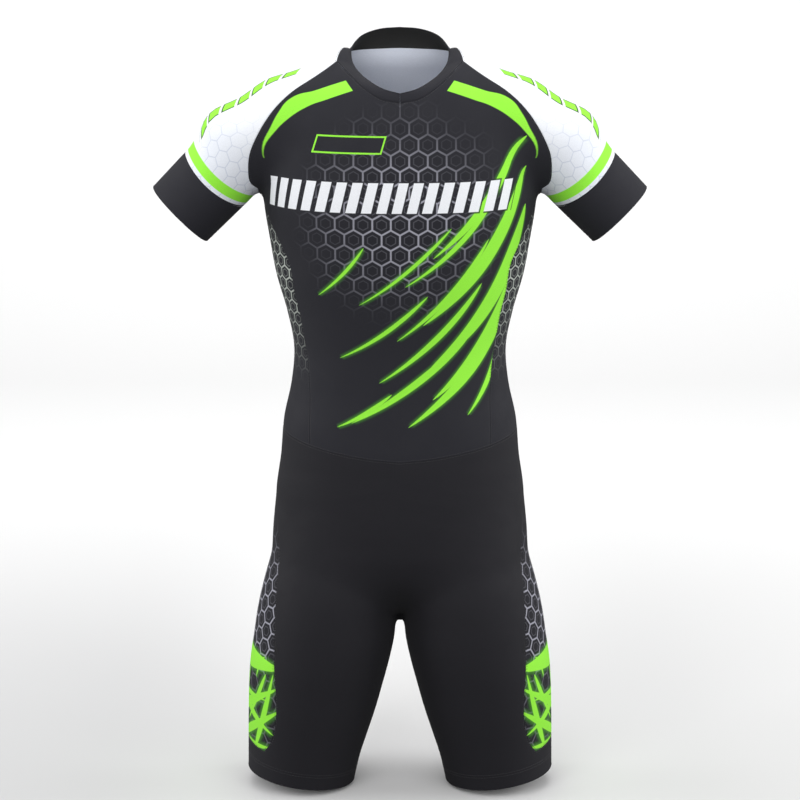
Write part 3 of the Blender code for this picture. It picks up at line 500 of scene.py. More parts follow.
def cut_cloth(fineness):
    """Every piece's lattices and every seam of the wearer's left half, worked out once."""
    if CUT:
        return CUT
    steps = {name: count * fineness for name, count in STEPS.items()}
    half_pit, narrow = steps["armpit"] // 2, steps["waist_side"] // 2
    counts = {"neck_front": "neck", "neck_side": "neck_side", "neck_back": "neck",
              "raglan_front": "raglan", "raglan_back": "raglan", "armpit": "armpit",
              "side_front": "side", "side_back": "side", "waist_front": "neck",
              "waist_side": "waist_side", "waist_back": "neck", "inset_foot": "foot"}
    line = {name: seam(SEAMS[name], steps[kind]) for name, kind in counts.items()}
    tall = steps["raglan"] + steps["side"]
    line["front_middle"] = seam(SEAMS["front_middle"], tall)
    line["back_middle"] = seam(SEAMS["back_middle"], tall)
    for name, end, other, other_end in (
            ("raglan_back", 0, "neck_back", 0), ("neck_side", 0, "neck_front", -1),
            ("raglan_front", 0, "neck_front", -1), ("neck_side", -1, "neck_back", 0),
            ("raglan_front", -1, "armpit", 0), ("raglan_back", -1, "armpit", -1),
            ("side_front", 0, "armpit", 0), ("side_back", 0, "armpit", -1),
            ("side_front", -1, "waist_front", -1), ("side_back", -1, "waist_side", -1),
            ("waist_side", 0, "waist_front", -1), ("waist_back", 0, "waist_side", -1),
            ("front_middle", 0, "neck_front", 0), ("front_middle", -1, "waist_front", 0),
            ("back_middle", 0, "neck_back", -1), ("back_middle", -1, "waist_back", -1)):
        line[name][end] = line[other][other_end]
    piece = {}
    piece["front"] = [field(line["neck_front"], line["waist_front"], line["front_middle"],
                            chain(line["raglan_front"], line["side_front"]))]
    piece["back"] = [field(line["neck_back"][::-1], line["waist_back"][::-1], line["back_middle"],
                           chain(line["raglan_back"], line["side_back"]))]
    piece["side"] = [field(line["armpit"], line["waist_side"], line["side_front"],
                           line["side_back"])]

    crown = chain(line["armpit"][half_pit::-1], line["raglan_front"][::-1], line["neck_side"],
                  line["raglan_back"], line["armpit"][:half_pit - 1:-1])
    around = len(crown) - 1
    line["cuff_seam"] = cuff_ring(-CUFF_LENGTH, around, CUFF_BOW, CUFF_TILT)
    under = lay(np.linspace(0.0, 1.0, steps["sleeve"] + 1)[:, None]
                * (line["cuff_seam"][0] - crown[0]) + crown[0])
    under[0], under[-1] = crown[0], line["cuff_seam"][0]
    line["under_sleeve"] = under
    piece["sleeve"] = [field(crown, line["cuff_seam"], under, under)]
    line["cuff_end"] = cuff_ring(0.0, around, -0.3 * CUFF_BOW)
    shares = np.linspace(0.0, 1.0, steps["cuff"] + 1)[:, None, None]
    piece["cuff"] = [line["cuff_seam"][None] * (1 - shares) + line["cuff_end"][None] * shares]

    waist_side = line["waist_side"]
    hip = waist_side[narrow]
    waist_inset = np.array([hip + INSET_TOP * (waist_side[narrow - fineness] - hip), hip,
                            hip + INSET_TOP * (waist_side[narrow + fineness] - hip)])
    kept = narrow - int(math.ceil(INSET_TOP * fineness)) + 1
    skipped = narrow + int(math.ceil(INSET_TOP * fineness))
    waist_f = np.concatenate([line["waist_front"], waist_side[1:kept], waist_inset[:1]])
    waist_b = np.concatenate([waist_inset[-1:], waist_side[skipped:], line["waist_back"][1:]])
    tall = steps["inset_upper"] + steps["inset_lower"]
    inset_f = seam((tuple(waist_inset[0]),) + INSET_FRONT, tall, True)
    inset_b = seam((tuple(waist_inset[-1]),) + INSET_BACK, tall, True)
    inset_f[0], inset_b[0] = waist_inset[0], waist_inset[-1]
    foot = line["inset_foot"]
    foot[0], foot[-1] = inset_f[-1], inset_b[-1]
    line["inset_front"], line["inset_back"] = inset_f, inset_b
    piece["inset"] = [field(finer(waist_inset, steps["foot"]), foot, inset_f, inset_b, 16, True)]

    top, low_rows = steps["inset_upper"], steps["inset_lower"]
    inside = seam(SEAMS["inside_leg"], low_rows + steps["hem_rows"])
    line["hem_front"], line["hem_back"] = None, None
    for name, waist, middle, outer, low in (
            ("front", waist_f, "belly_middle", inset_f, foot[:steps["foot"] // 2 + 1]),
            ("back", waist_b[::-1], "seat_middle", inset_b, foot[:steps["foot"] // 2 - 1:-1])):
        cols = len(waist) - 1
        middle_line = seam(SEAMS[middle], top)
        middle_line[0], middle_line[-1] = waist[0], inside[0]
        groin = seam(SEAMS["groin_" + name], cols)
        groin[0], groin[-1] = inside[0], outer[top]
        sign = -1.0 if name == "front" else 1.0
        tip_turn = sign * math.degrees(math.atan2(abs(outer[-1][1]) / 0.073,
                                                  (outer[-1][0] - 0.1225) / 0.0725))
        hem = hem_line(sign * 180.0, tip_turn, cols)
        level_line = seam((tuple(inside[low_rows]), (0.074, sign * 0.062, -0.9090),
                           (0.120, sign * 0.078, -0.9040), tuple(outer[-1])), cols)
        level_line[0], level_line[-1] = inside[low_rows], outer[-1]
        shares = np.linspace(0.0, 1.0, steps["hem_rows"] + 1)[:, None]
        drop = lay(outer[-1] + (hem[-1] - outer[-1]) * shares)
        drop[0], drop[-1] = outer[-1], hem[-1]
        inside[-1] = hem[0]
        hem_out = hem_line(tip_turn, 0.0, len(low) - 1)
        hem_out[0] = hem[-1]
        outseam = lay(low[-1] + (hem_out[-1] - low[-1]) * shares)
        outseam[0], outseam[-1] = low[-1], hem_out[-1]
        piece["shorts_" + name] = [
            field(waist, groin, middle_line, outer[:top + 1]),
            field(groin, level_line, inside[:low_rows + 1], outer[top:]),
            field(level_line, hem, inside[low_rows:], drop),
            field(low, hem_out, drop, outseam)]
        line[middle] = middle_line
        line["hem_" + name] = chain(hem, hem_out)
    line["inside_leg"], line["outseam"] = inside, outseam

    base = chain(line["neck_front"], line["neck_side"], line["neck_back"])
    rim = along(RIM, len(base) - 1)
    rows = steps["collar"]
    shares = np.linspace(0.0, 1.0, rows + 1)[:, None, None]
    outward = facing(base)
    band = base[None] * (1 - shares) + rim[None] * shares
    fullness = np.interp(base[:, 1], (-0.085, -0.030), (0.0008, 0.0022))[None, :, None]
    band = band + outward[None] * fullness * 4 * shares * (1 - shares)
    out = np.cross(np.gradient(band, axis=1), np.gradient(band, axis=0))
    out /= np.linalg.norm(out, axis=2)[..., None]
    out *= np.sign(float(np.dot(out[0, 0], outward[0])))
    settle = np.clip(shares * 4.0, 0.0, 1.0)
    out = outward[None] * (1 - settle) + out * settle
    out[:, 0, 0] = 0.0
    out[:, -1, 0] = 0.0
    out /= np.linalg.norm(out, axis=2)[..., None]
    band[:, 0, 0] = 0.0
    band[:, -1, 0] = 0.0
    piece["collar"] = [band]
    CUT.update(piece=piece, line=line, collar_out=out, steps=steps)
    return CUT


def halves(points, face):
    """A face with four corners as two triangles, cut across its shorter way."""
    if len(face) == 3:
        return [face]
    a, b, c, d = face
    if math.dist(points[a], points[c]) <= math.dist(points[b], points[d]):
        return [(a, b, c), (a, c, d)]
    return [(a, b, d), (b, c, d)]


class Shell:
    """One piece of thin cloth: lattices that share edges, gathered over common points."""

    def __init__(self):
        self.points, self.normals, self.faces, self.seen = [], [], [], {}

    def spot(self, point, normal):
        key = tuple(int(round(value * 1e6)) for value in point)
        if key not in self.seen:
            self.seen[key] = len(self.points)
            self.points.append(point)
            self.normals.append(normal)
        return self.seen[key]

    def part_from(self, line):
        """Forget a line of points, so that what is added later stays apart there."""
        for point in line:
            del self.seen[tuple(int(round(value * 1e6)) for value in point)]

    def add(self, grid, normals=None):
        """Rows run down and columns to the wearer's left, seen from outside."""
        if normals is None:
            normals = facing(grid)
        rows, cols = grid.shape[:2]
        marks = [[self.spot(grid[r, c], normals[r, c]) for c in range(cols)]
                 for r in range(rows)]
        for r in range(rows - 1):
            for c in range(cols - 1):
                face = (marks[r][c], marks[r + 1][c], marks[r + 1][c + 1], marks[r][c + 1])
                single = tuple(dict.fromkeys(face))
                if len(single) > 2:
                    self.faces.append(single)
        return self

    def make(self, name, places, face, reverse, lift=0.0, open_edge=None):
        """The cloth as an object: face outside, reverse inside, edges pulled back from the seams."""
        sizes = bpy.context.scene.suit_sizes
        points, normals = np.array(self.points), np.array(self.normals)
        faces = [half for face in self.faces for half in halves(points, face)]
        turns = sum(float(np.dot(np.cross(points[f[1]] - points[f[0]], points[f[2]] - points[f[0]]),
                                 normals[f[0]])) for f in faces)
        if turns < 0.0:
            faces = [f[::-1] for f in faces]
        edges = {(f[k], f[(k + 1) % len(f)]) for f in faces for k in range(len(f))}
        border = [(a, b) for a, b in edges if (b, a) not in edges]
        border.sort()
        inward = {}
        for a, b in border:
            run = points[b] - points[a]
            for end in (a, b):
                way = np.cross(normals[end], run)
                inward.setdefault(end, []).append(way / np.linalg.norm(way))
        held, depth = points.copy(), np.zeros(len(points))
        for end, ways in inward.items():
            both = ways[0] + ways[-1]
            gap = 0.5 * sizes.seam_gap
            if abs(points[end][0]) < 1e-5:
                gap *= 0.5 if points[end][2] > ZIP_SHOWS else 0.0
            held[end] += gap * both / max(0.35, 1.0 + float(np.dot(ways[0], ways[-1])))
            if open_edge is None or not open_edge(points[end]):
                depth[end] = sizes.seam_dip
        outer = held + normals * (lift + WALL / 2 - depth)[:, None]
        inner = held + normals * (lift + WALL / 2 - sizes.cloth - depth)[:, None]
        count = len(points)
        quads = list(faces) + [tuple(mark + count for mark in f[::-1]) for f in faces]
        quads += [(b, a, a + count, b + count) for a, b in border]
        mesh = bpy.data.meshes.new(name)
        mesh.from_pydata([tuple(v) for v in outer] + [tuple(v) for v in inner], [], quads)
        mesh.materials.append(face)
        mesh.materials.append(reverse)
        inside = [0] * len(faces) + [1] * len(faces) + [0] * len(border)
        mesh.polygons.foreach_set("material_index", inside)
        mesh.polygons.foreach_set("use_smooth", [True] * len(quads))
        rims = {frozenset(pair) for pair in border}
        rims |= {frozenset((a + count, b + count)) for a, b in border}
        for edge in mesh.edges:
            if frozenset(edge.vertices) in rims:
                edge.use_edge_sharp = True
        cloth = mesh.attributes.new("cloth", "FLOAT_VECTOR", "POINT")
        place = places(points)
        cloth.data.foreach_set("vector", np.concatenate([place, place]).ravel())
        mesh.update()
        body = bpy.data.objects.new(name, mesh)
        bpy.context.scene.collection.objects.link(body)
        return body


class Wires:
    """Adds nodes to one tree, each joined to what it works on."""

    def __init__(self, tree):
        self.tree = tree

    def feed(self, socket, value):
        if isinstance(value, bpy.types.NodeSocket):
            self.tree.links.new(value, socket)
        elif value is not None:
            socket.default_value = value

    def put(self, kind, *feeds, out=0, **settings):
        node = self.tree.nodes.new(kind)
        for key, value in settings.items():
            setattr(node, key, value)
        for number, value in enumerate(feeds):
            self.feed(node.inputs[number], value)
        return node.outputs[out]

    def math(self, operation, *feeds, clamp=False):
        return self.put("ShaderNodeMath", *feeds, operation=operation, use_clamp=clamp)

    def vector(self, operation, *feeds, out=0):
        return self.put("ShaderNodeVectorMath", *feeds, operation=operation, out=out)

    def step(self, value, low, high, first=0.0, last=1.0):
        """Rises softly from first to last as value goes from low to high."""
        return self.put("ShaderNodeMapRange", value, low, high, first, last,
                        interpolation_type="SMOOTHSTEP")

    def blend(self, share, first, second):
        node = self.tree.nodes.new("ShaderNodeMix")
        node.data_type = "RGBA"
        for number, value in ((0, share), (6, first), (7, second)):
            if isinstance(value, tuple) and len(value) == 3:
                value = value + (1.0,)
            self.feed(node.inputs[number], value)
        return node.outputs[2]

    def group(self, name, **feeds):
        node = self.tree.nodes.new("ShaderNodeGroup")
        node.node_tree = bpy.data.node_groups[name]
        for key, value in feeds.items():
            self.feed(node.inputs[key.replace("_", " ")], value)
        return node.outputs

    def parts(self, vector):
        node = self.tree.nodes.new("ShaderNodeSeparateXYZ")
        self.feed(node.inputs[0], vector)
        return node.outputs

    def cloth(self):
        node = self.tree.nodes.new("ShaderNodeAttribute")
        node.attribute_name = "cloth"
        return node.outputs["Vector"]

    def most(self, *values):
        result = values[0]
        for value in values[1:]:
            result = self.math("MAXIMUM", result, value)
        return result


def open_group(name, takes, gives):
    """A node group whose first input is a vector and whose others are numbers."""
    tree = bpy.data.node_groups.new(name, "ShaderNodeTree")
    tree.interface.new_socket(name="Vector", in_out="INPUT", socket_type="NodeSocketVector")
    for label, default in takes:
        socket = tree.interface.new_socket(name=label, in_out="INPUT", socket_type="NodeSocketFloat")
        socket.default_value = default
    for label in gives:
        tree.interface.new_socket(name=label, in_out="OUTPUT", socket_type="NodeSocketFloat")
    entry, end = tree.nodes.new("NodeGroupInput"), tree.nodes.new("NodeGroupOutput")
    return Wires(tree), entry.outputs, end.inputs


def make_knit():
    """Rows of small loops, their height and a soft shade between them."""
    w, take, give = open_group("Knit", (("Wale", 0.0009), ("Course", 0.0007)), ("Height", "Shade"))
    place = w.parts(take["Vector"])
    across = w.math("DIVIDE", place[0], take["Wale"])
    up = w.math("DIVIDE", place[1], take["Course"])
    leg_of_loop = w.math("ABSOLUTE", w.math("SUBTRACT", w.math("FRACT", across), 0.5))
    wale = w.math("MULTIPLY", leg_of_loop, 2.0)
    ridge = w.math("SINE", w.math("MULTIPLY", w.math("ADD", up, leg_of_loop), 2 * math.pi))
    rows = w.math("MULTIPLY_ADD", ridge, 0.5, 0.5)
    height = w.math("MULTIPLY_ADD", rows, 0.6, w.math("MULTIPLY", wale, 0.4))
    w.feed(give["Height"], height)
    noise = w.put("ShaderNodeTexNoise", take["Vector"], None, 900.0, 2.0)
    w.feed(give["Shade"], w.step(w.math("MULTIPLY_ADD", noise, 0.7, w.math("MULTIPLY", height, 0.3)),
                                 0.2, 0.8))


def make_honeycomb():
    """A net of hexagons with upright sides: its lines, and a smaller hexagon in each."""
    w, take, give = open_group("Honeycomb", (("Pitch", 0.022), ("Line", 0.0022), ("Soft", 0.0005)),
                               ("Net", "Inner", "Edge"))
    scale = w.math("DIVIDE", 1.0, take["Pitch"])
    spot = w.vector("SCALE", take["Vector"], None, None, scale)
    half = (0.5, 0.8660254, 0.5)
    back = tuple(-value for value in half)
    first = w.vector("MULTIPLY", w.vector("WRAP", spot, half, back), (1.0, 1.0, 0.0))
    moved = w.vector("ADD", spot, half)
    second = w.vector("MULTIPLY", w.vector("WRAP", moved, half, back), (1.0, 1.0, 0.0))
    nearer = w.math("LESS_THAN", w.vector("LENGTH", first, out=1), w.vector("LENGTH", second, out=1))
    mix = w.tree.nodes.new("ShaderNodeMix")
    mix.data_type = "VECTOR"
    for number, value in ((0, nearer), (4, second), (5, first)):
        w.feed(mix.inputs[number], value)
    place = w.parts(w.vector("ABSOLUTE", mix.outputs[1]))
    slanted = w.math("MULTIPLY_ADD", place[1], 0.8660254, w.math("MULTIPLY", place[0], 0.5))
    edge = w.math("MULTIPLY", w.math("SUBTRACT", 0.5, w.math("MAXIMUM", place[0], slanted)),
                  take["Pitch"])
    wide = w.math("MULTIPLY", take["Line"], 0.5)
    w.feed(give["Net"], w.step(edge, w.math("ADD", wide, take["Soft"]),
                               w.math("SUBTRACT", wide, take["Soft"])))
    ring = w.math("ABSOLUTE", w.math("SUBTRACT", edge, w.math("MULTIPLY", take["Pitch"], 0.24)))
    w.feed(give["Inner"], w.step(ring, w.math("ADD", w.math("MULTIPLY", wide, 0.4), take["Soft"]),
                                 w.math("MULTIPLY", wide, 0.4)))
    w.feed(give["Edge"], edge)


def make_slash():
    """One bowed streak that tapers to both ends, and the soft glow round it."""
    w, take, give = open_group(
        "Slash", (("Start Across", 0.0), ("Start Up", 0.0), ("End Across", 0.1), ("End Up", 0.1),
                  ("Bow", 0.0), ("Half Width", 0.004), ("Glow Reach", 0.006)), ("Streak", "Glow"))
    start = w.put("ShaderNodeCombineXYZ", take["Start Across"], take["Start Up"], 0.0)
    end = w.put("ShaderNodeCombineXYZ", take["End Across"], take["End Up"], 0.0)
    run = w.vector("SUBTRACT", end, start)
    length = w.vector("LENGTH", run, out=1)
    ahead = w.vector("NORMALIZE", run)
    rest = w.vector("SUBTRACT", w.vector("MULTIPLY", take["Vector"], (1.0, 1.0, 0.0)), start)
    share = w.math("DIVIDE", w.vector("DOT_PRODUCT", rest, ahead, out=1), length)
    aside = w.parts(w.vector("CROSS_PRODUCT", ahead, rest))[2]
    arch = w.math("MULTIPLY", w.math("MULTIPLY", share, w.math("SUBTRACT", 1.0, share)), 4.0)
    off = w.math("ABSOLUTE", w.math("SUBTRACT", aside, w.math("MULTIPLY", take["Bow"], arch)))
    swell = w.math("MULTIPLY", w.math("POWER", w.math("MAXIMUM", arch, 0.0), 0.75),
                   w.math("MULTIPLY_ADD", share, -0.7, 1.35))
    half = w.math("MULTIPLY", take["Half Width"], swell)
    gap = w.math("SUBTRACT", off, half)
    there = w.step(arch, 0.0, 0.12)
    w.feed(give["Streak"], w.math("MULTIPLY", w.step(gap, 0.0005, -0.0005), w.step(arch, 0.0, 0.02)))
    w.feed(give["Glow"], w.math("MULTIPLY", w.step(gap, take["Glow Reach"], 0.0), there))


def make_flight(name, rows):
    """A flight of slashes laid out by a table."""
    w, take, give = open_group(name, (("Glow Reach", 0.006),), ("Streak", "Glow"))
    streaks, glows = [], []
    for across, up, to_across, to_up, bow, half in rows:
        out = w.group("Slash", Vector=take["Vector"], Start_Across=across, Start_Up=up,
                      End_Across=to_across, End_Up=to_up, Bow=bow, Half_Width=half,
                      Glow_Reach=take["Glow Reach"])
        streaks.append(out["Streak"])
        glows.append(out["Glow"])
    w.feed(give["Streak"], w.most(*streaks))
    w.feed(give["Glow"], w.most(*glows))


def make_bars():
    """A row of slanted bars between two heights and two ends."""
    w, take, give = open_group(
        "Slanted Bars", (("Low", 0.0), ("High", 0.1), ("First", 0.0), ("Last", 0.1),
                         ("Pitch", 0.018), ("Bar", 0.011), ("Slant", 0.25)), ("Bars", "Outline"))
    place = w.parts(take["Vector"])
    leaned = w.math("SUBTRACT", place[0], w.math("MULTIPLY", w.math("SUBTRACT", place[1], take["Low"]),
                                                 take["Slant"]))
    from_low = w.math("SUBTRACT", place[1], take["Low"])
    to_high = w.math("SUBTRACT", take["High"], place[1])
    within = w.math("MINIMUM", w.math("SUBTRACT", leaned, take["First"]),
                    w.math("SUBTRACT", take["Last"], leaned))
    beat = w.math("WRAP", w.math("SUBTRACT", leaned, take["First"]), take["Pitch"], 0.0)
    from_left = w.math("MINIMUM", beat, w.math("SUBTRACT", take["Bar"], beat))
    depth = w.math("MINIMUM", w.math("MINIMUM", from_low, to_high),
                   w.math("MINIMUM", from_left, within))
    w.feed(give["Bars"], w.step(depth, -0.0003, 0.0004))
    w.feed(give["Outline"], w.step(depth, -0.0022, -0.0016))


def make_stripe():
    """The tapered shoulder stripe, from its two edges in cloth coordinates."""
    outer = np.abs(around_trunk(np.array(STRIPE_OUTER)))[:, :2] * (1.0, -1.0)
    inner = np.abs(around_trunk(np.array(STRIPE_INNER)))[:, :2] * (1.0, -1.0)
    middle = 0.5 * (outer + inner)
    start, end = middle[0], middle[-1]
    run = end - start
    length = float(np.hypot(*run))
    run = run / length
    side = np.array([-run[1], run[0]])
    w, take, give = open_group("Shoulder Stripe", (("Soft", 0.0005),), ("Stripe",))
    place = w.parts(take["Vector"])
    flat = w.put("ShaderNodeCombineXYZ", w.math("ABSOLUTE", place[0]), place[1], 0.0)
    rest = w.vector("SUBTRACT", flat, (float(start[0]), float(start[1]), 0.0))
    share = w.math("DIVIDE", w.vector("DOT_PRODUCT", rest, (float(run[0]), float(run[1]), 0.0),
                                      out=1), length)
    aside = w.vector("DOT_PRODUCT", rest, (float(side[0]), float(side[1]), 0.0), out=1)
    edges = []
    for rows in (outer, inner):
        curve = w.tree.nodes.new("ShaderNodeFloatCurve")
        w.feed(curve.inputs["Value"], share)
        shares = (rows - start) @ run / length
        offsets = (rows - start) @ side / 0.08 + 0.5
        shares[0], shares[-1] = 0.0, 1.0
        points = curve.mapping.curves[0].points
        for number, (s, o) in enumerate(zip(shares, offsets)):
            if number == 0:
                points[0].location = (float(s), float(o))
            elif number == len(shares) - 1:
                points[-1].location = (float(s), float(o))
            else:
                points.new(float(s), float(o))
        curve.mapping.update()
        edges.append(w.math("MULTIPLY_ADD", curve.outputs[0], 0.08, -0.04))
    inside = w.math("MINIMUM", w.math("SUBTRACT", edges[0], aside), w.math("SUBTRACT", aside, edges[1]))
    if float((outer[1] - start) @ side) < float((inner[1] - start) @ side):
        inside = w.math("MINIMUM", w.math("SUBTRACT", aside, edges[0]),
                        w.math("SUBTRACT", edges[1], aside))
    ends = w.math("MINIMUM", share, w.math("SUBTRACT", 1.0, share))
    w.feed(give["Stripe"], w.math("MULTIPLY", w.step(inside, w.math("MULTIPLY", take["Soft"], -1.0),
                                                     take["Soft"]), w.step(ends, 0.0, 0.004)))


def make_groups():
    for old in list(bpy.data.node_groups):
        bpy.data.node_groups.remove(old)
    make_knit()
    make_honeycomb()
    make_slash()
    make_flight("Front Flight", FRONT_SLASHES)
    make_flight("Inset Flight", INSET_SLASHES)
    make_bars()
    make_stripe()


def fabric(name, colour, rough=0.72, sheen=0.25, bump=0.16, wale=0.0009):
    """A stretch knit. colour(wires, place) gives its dye as a colour or a socket."""
    found = bpy.data.materials.get(name)
    if found:
        return found
    material = bpy.data.materials.new(name)
    material.use_nodes = True
    tree = material.node_tree
    shader = tree.nodes["Principled BSDF"]
    w = Wires(tree)
    place = w.cloth()
    knit = w.group("Knit", Vector=place, Wale=wale, Course=wale * 0.8)
    dye = colour(w, place) if callable(colour) else colour
    shade = w.step(knit["Shade"], 0.0, 1.0, 0.93, 1.05)
    tint = w.vector("SCALE", dye, None, None, shade)
    w.feed(shader.inputs["Base Color"], tint)
    cloud = w.put("ShaderNodeTexNoise", place, None, 26.0, 3.0)
    w.feed(shader.inputs["Roughness"], w.step(cloud, 0.3, 0.7, rough - 0.05, rough + 0.05))
    relief = w.tree.nodes.new("ShaderNodeBump")
    relief.inputs["Strength"].default_value = bump
    relief.inputs["Distance"].default_value = 0.0003
    w.feed(relief.inputs["Height"], knit["Height"])
    w.feed(shader.inputs["Normal"], relief.outputs["Normal"])
    shader.inputs["Sheen Weight"].default_value = sheen
    shader.inputs["Sheen Roughness"].default_value = 0.5
    shader.inputs["Specular IOR Level"].default_value = 0.16
    return material


def colours():
    return bpy.context.scene.suit_colours


def dye_of(name):
    return tuple(getattr(colours(), name))[:3]


def front_dye(w, place):
    """The front's print: honeycomb round the chest, shoulder stripes, green flight, slanted bars."""
    base, net, green, white = (dye_of(n) for n in ("dark", "net", "green", "white"))
    sizes = bpy.context.scene.suit_sizes
    cells = w.group("Honeycomb", Vector=place, Pitch=sizes.cell_pitch, Line=sizes.cell_line)
    around = w.vector("MULTIPLY", w.vector("SUBTRACT", place, (0.002, -0.184, 0.0)), (1.0, 1.0, 0.0))
    reach = w.vector("LENGTH", around, out=1)
    patch = w.put("ShaderNodeTexNoise", place, None, 13.0, 2.0)
    fade = w.step(w.math("MULTIPLY_ADD", patch, -0.05, w.math("ADD", reach, 0.025)), 0.146, 0.028)
    strong = w.math("MULTIPLY", w.math("POWER", fade, 1.15), cells["Net"])
    inner = w.math("MULTIPLY", w.math("MULTIPLY", fade, cells["Inner"]), 0.16)
    hollow = w.math("MULTIPLY", w.step(cells["Edge"], 0.0, 0.008), w.math("MULTIPLY", fade, 0.35))
    colour = w.blend(hollow, base, dye_of("cell"))
    colour = w.blend(w.most(strong, inner), colour, net)
    part = w.parts(place)
    crease = w.math("MULTIPLY", w.step(w.math("ABSOLUTE", part[0]), 0.0009, 0.0003),
                    w.step(part[1], -0.070, -0.060))
    colour = w.blend(w.math("MULTIPLY", crease, 0.12), colour, net)
    flight = w.group("Front Flight", Vector=place, Glow_Reach=0.0055)
    glow = w.math("MULTIPLY", w.math("POWER", flight["Glow"], 1.8), 0.42)
    colour = w.blend(glow, colour, dye_of("glow"))
    colour = w.blend(flight["Streak"], colour, green)
    stripe = w.group("Shoulder Stripe", Vector=place)["Stripe"]
    colour = w.blend(stripe, colour, green)
    bars = w.group("Slanted Bars", Vector=place, Low=-0.1790, High=-0.1420, First=-0.176, Last=0.136,
                   Pitch=0.0184, Bar=0.0122, Slant=0.24)
    colour = w.blend(w.math("MULTIPLY", bars["Outline"], 0.85), colour, base)
    colour = w.blend(bars["Bars"], colour, white)
    tag = w.group("Slanted Bars", Vector=place, Low=-0.1060, High=-0.0880, First=-0.104, Last=-0.024,
                  Pitch=0.200, Bar=0.199, Slant=0.30)
    colour = w.blend(tag["Outline"], colour, green)
    return w.blend(tag["Bars"], colour, base)


def side_dye(w, place):
    sizes = bpy.context.scene.suit_sizes
    cells = w.group("Honeycomb", Vector=place, Pitch=sizes.cell_pitch * 0.76,
                    Line=sizes.cell_line * 0.95)
    up = w.parts(place)[1]
    fade = w.math("MULTIPLY", w.step(up, -0.412, -0.270), w.step(up, -0.172, -0.225))
    colour = w.blend(w.math("MULTIPLY", fade, 0.5), dye_of("dark"), dye_of("cell"))
    lines = w.most(cells["Net"], w.math("MULTIPLY", cells["Inner"], 0.30))
    return w.blend(w.math("MULTIPLY", lines, fade), colour, dye_of("side_net"))


def inset_dye(w, place):
    sizes = bpy.context.scene.suit_sizes
    turned = w.parts(place)
    flat = w.put("ShaderNodeCombineXYZ", turned[1], turned[0], 0.0)
    cells = w.group("Honeycomb", Vector=flat, Pitch=sizes.cell_pitch * 0.95, Line=sizes.cell_line)
    fade = w.step(turned[1], -0.585, -0.690)
    colour = w.blend(w.math("MULTIPLY", fade, 0.5), dye_of("shorts"), dye_of("cell"))
    lines = w.most(cells["Net"], w.math("MULTIPLY", cells["Inner"], 0.16))
    dim = w.step(turned[1], -0.800, -0.770, 0.30, 1.0)
    lines = w.math("MULTIPLY", w.math("MULTIPLY", lines, fade), dim)
    colour = w.blend(lines, colour, dye_of("net"))
    flight = w.group("Inset Flight", Vector=place, Glow_Reach=0.0085)
    colour = w.blend(w.math("MULTIPLY", w.math("POWER", flight["Glow"], 1.6), 0.5), colour,
                     dye_of("glow"))
    return w.blend(flight["Streak"], colour, dye_of("green"))


def sleeve_dye(w, place):
    """White, with a green band above the cuff, faint honeycomb low in front and green bars on top."""
    sizes = bpy.context.scene.suit_sizes
    white, green = dye_of("white"), dye_of("green")
    part = w.parts(place)
    cells = w.group("Honeycomb", Vector=place, Pitch=sizes.cell_pitch * 0.82, Line=0.0010)
    low = w.math("MULTIPLY", w.step(part[0], 0.018, 0.055), w.step(part[2], 0.135, 0.03))
    colour = w.blend(w.math("MULTIPLY", low, 0.35), white, dye_of("sleeve_shade"))
    colour = w.blend(w.math("MULTIPLY", low, w.math("MULTIPLY", cells["Net"], 0.66)), colour,
                     dye_of("sleeve_net"))
    flat = w.put("ShaderNodeCombineXYZ", part[1], part[0], 0.0)
    bars = w.group("Slanted Bars", Vector=flat, Low=0.012, High=0.0255, First=-0.236, Last=-0.094,
                   Pitch=0.0205, Bar=0.0150, Slant=0.45)
    colour = w.blend(bars["Outline"], colour, dye_of("outline"))
    colour = w.blend(bars["Bars"], colour, green)
    band = w.math("MULTIPLY", w.step(part[2], sizes.strip - 0.0004, sizes.strip + 0.0004),
                  w.step(part[2], sizes.strip + sizes.band + 0.0004, sizes.strip + sizes.band - 0.0004))
    return w.blend(band, colour, green)


def cloth_material(kind):
    """One of the suit's knits by name."""
    if "Knit" not in bpy.data.node_groups:
        make_groups()
    makers = {
        "Dark Knit": lambda: dye_of("dark"), "Shorts Knit": lambda: dye_of("shorts"),
        "Front Print": lambda: front_dye, "Side Honeycomb": lambda: side_dye,
        "Inset Print": lambda: inset_dye, "Sleeve Print": lambda: sleeve_dye,
        "Pale Reverse": lambda: dye_of("reverse"), "Dark Reverse": lambda: dye_of("lining_dark"),
        "Zip Tape": lambda: dye_of("tape")}
    sheen = 0.04
    return fabric(kind, makers[kind](), sheen=sheen)


def thread(name, colour):
    """Sewing thread with its twist, painted as darker bands of shade in its grooves."""
    found = bpy.data.materials.get(name)
    if found:
        return found
    material = bpy.data.materials.new(name)
    material.use_nodes = True
    w = Wires(material.node_tree)
    shader = material.node_tree.nodes["Principled BSDF"]
    where = w.put("ShaderNodeTexCoord", out=3)
    # Painted shade: darker diagonal bands where the twist's grooves would be in shade; the same bands vary the
    # roughness.
    twist_shade = w.put("ShaderNodeTexWave", where, 900.0, 1.5, bands_direction="DIAGONAL", out=1)
    w.feed(shader.inputs["Base Color"], w.blend(twist_shade, tuple(0.7 * c for c in colour), colour))
    w.feed(shader.inputs["Roughness"], w.step(twist_shade, 0.0, 1.0, 0.55, 0.7))
    shader.inputs["Sheen Weight"].default_value = 0.2
    return material


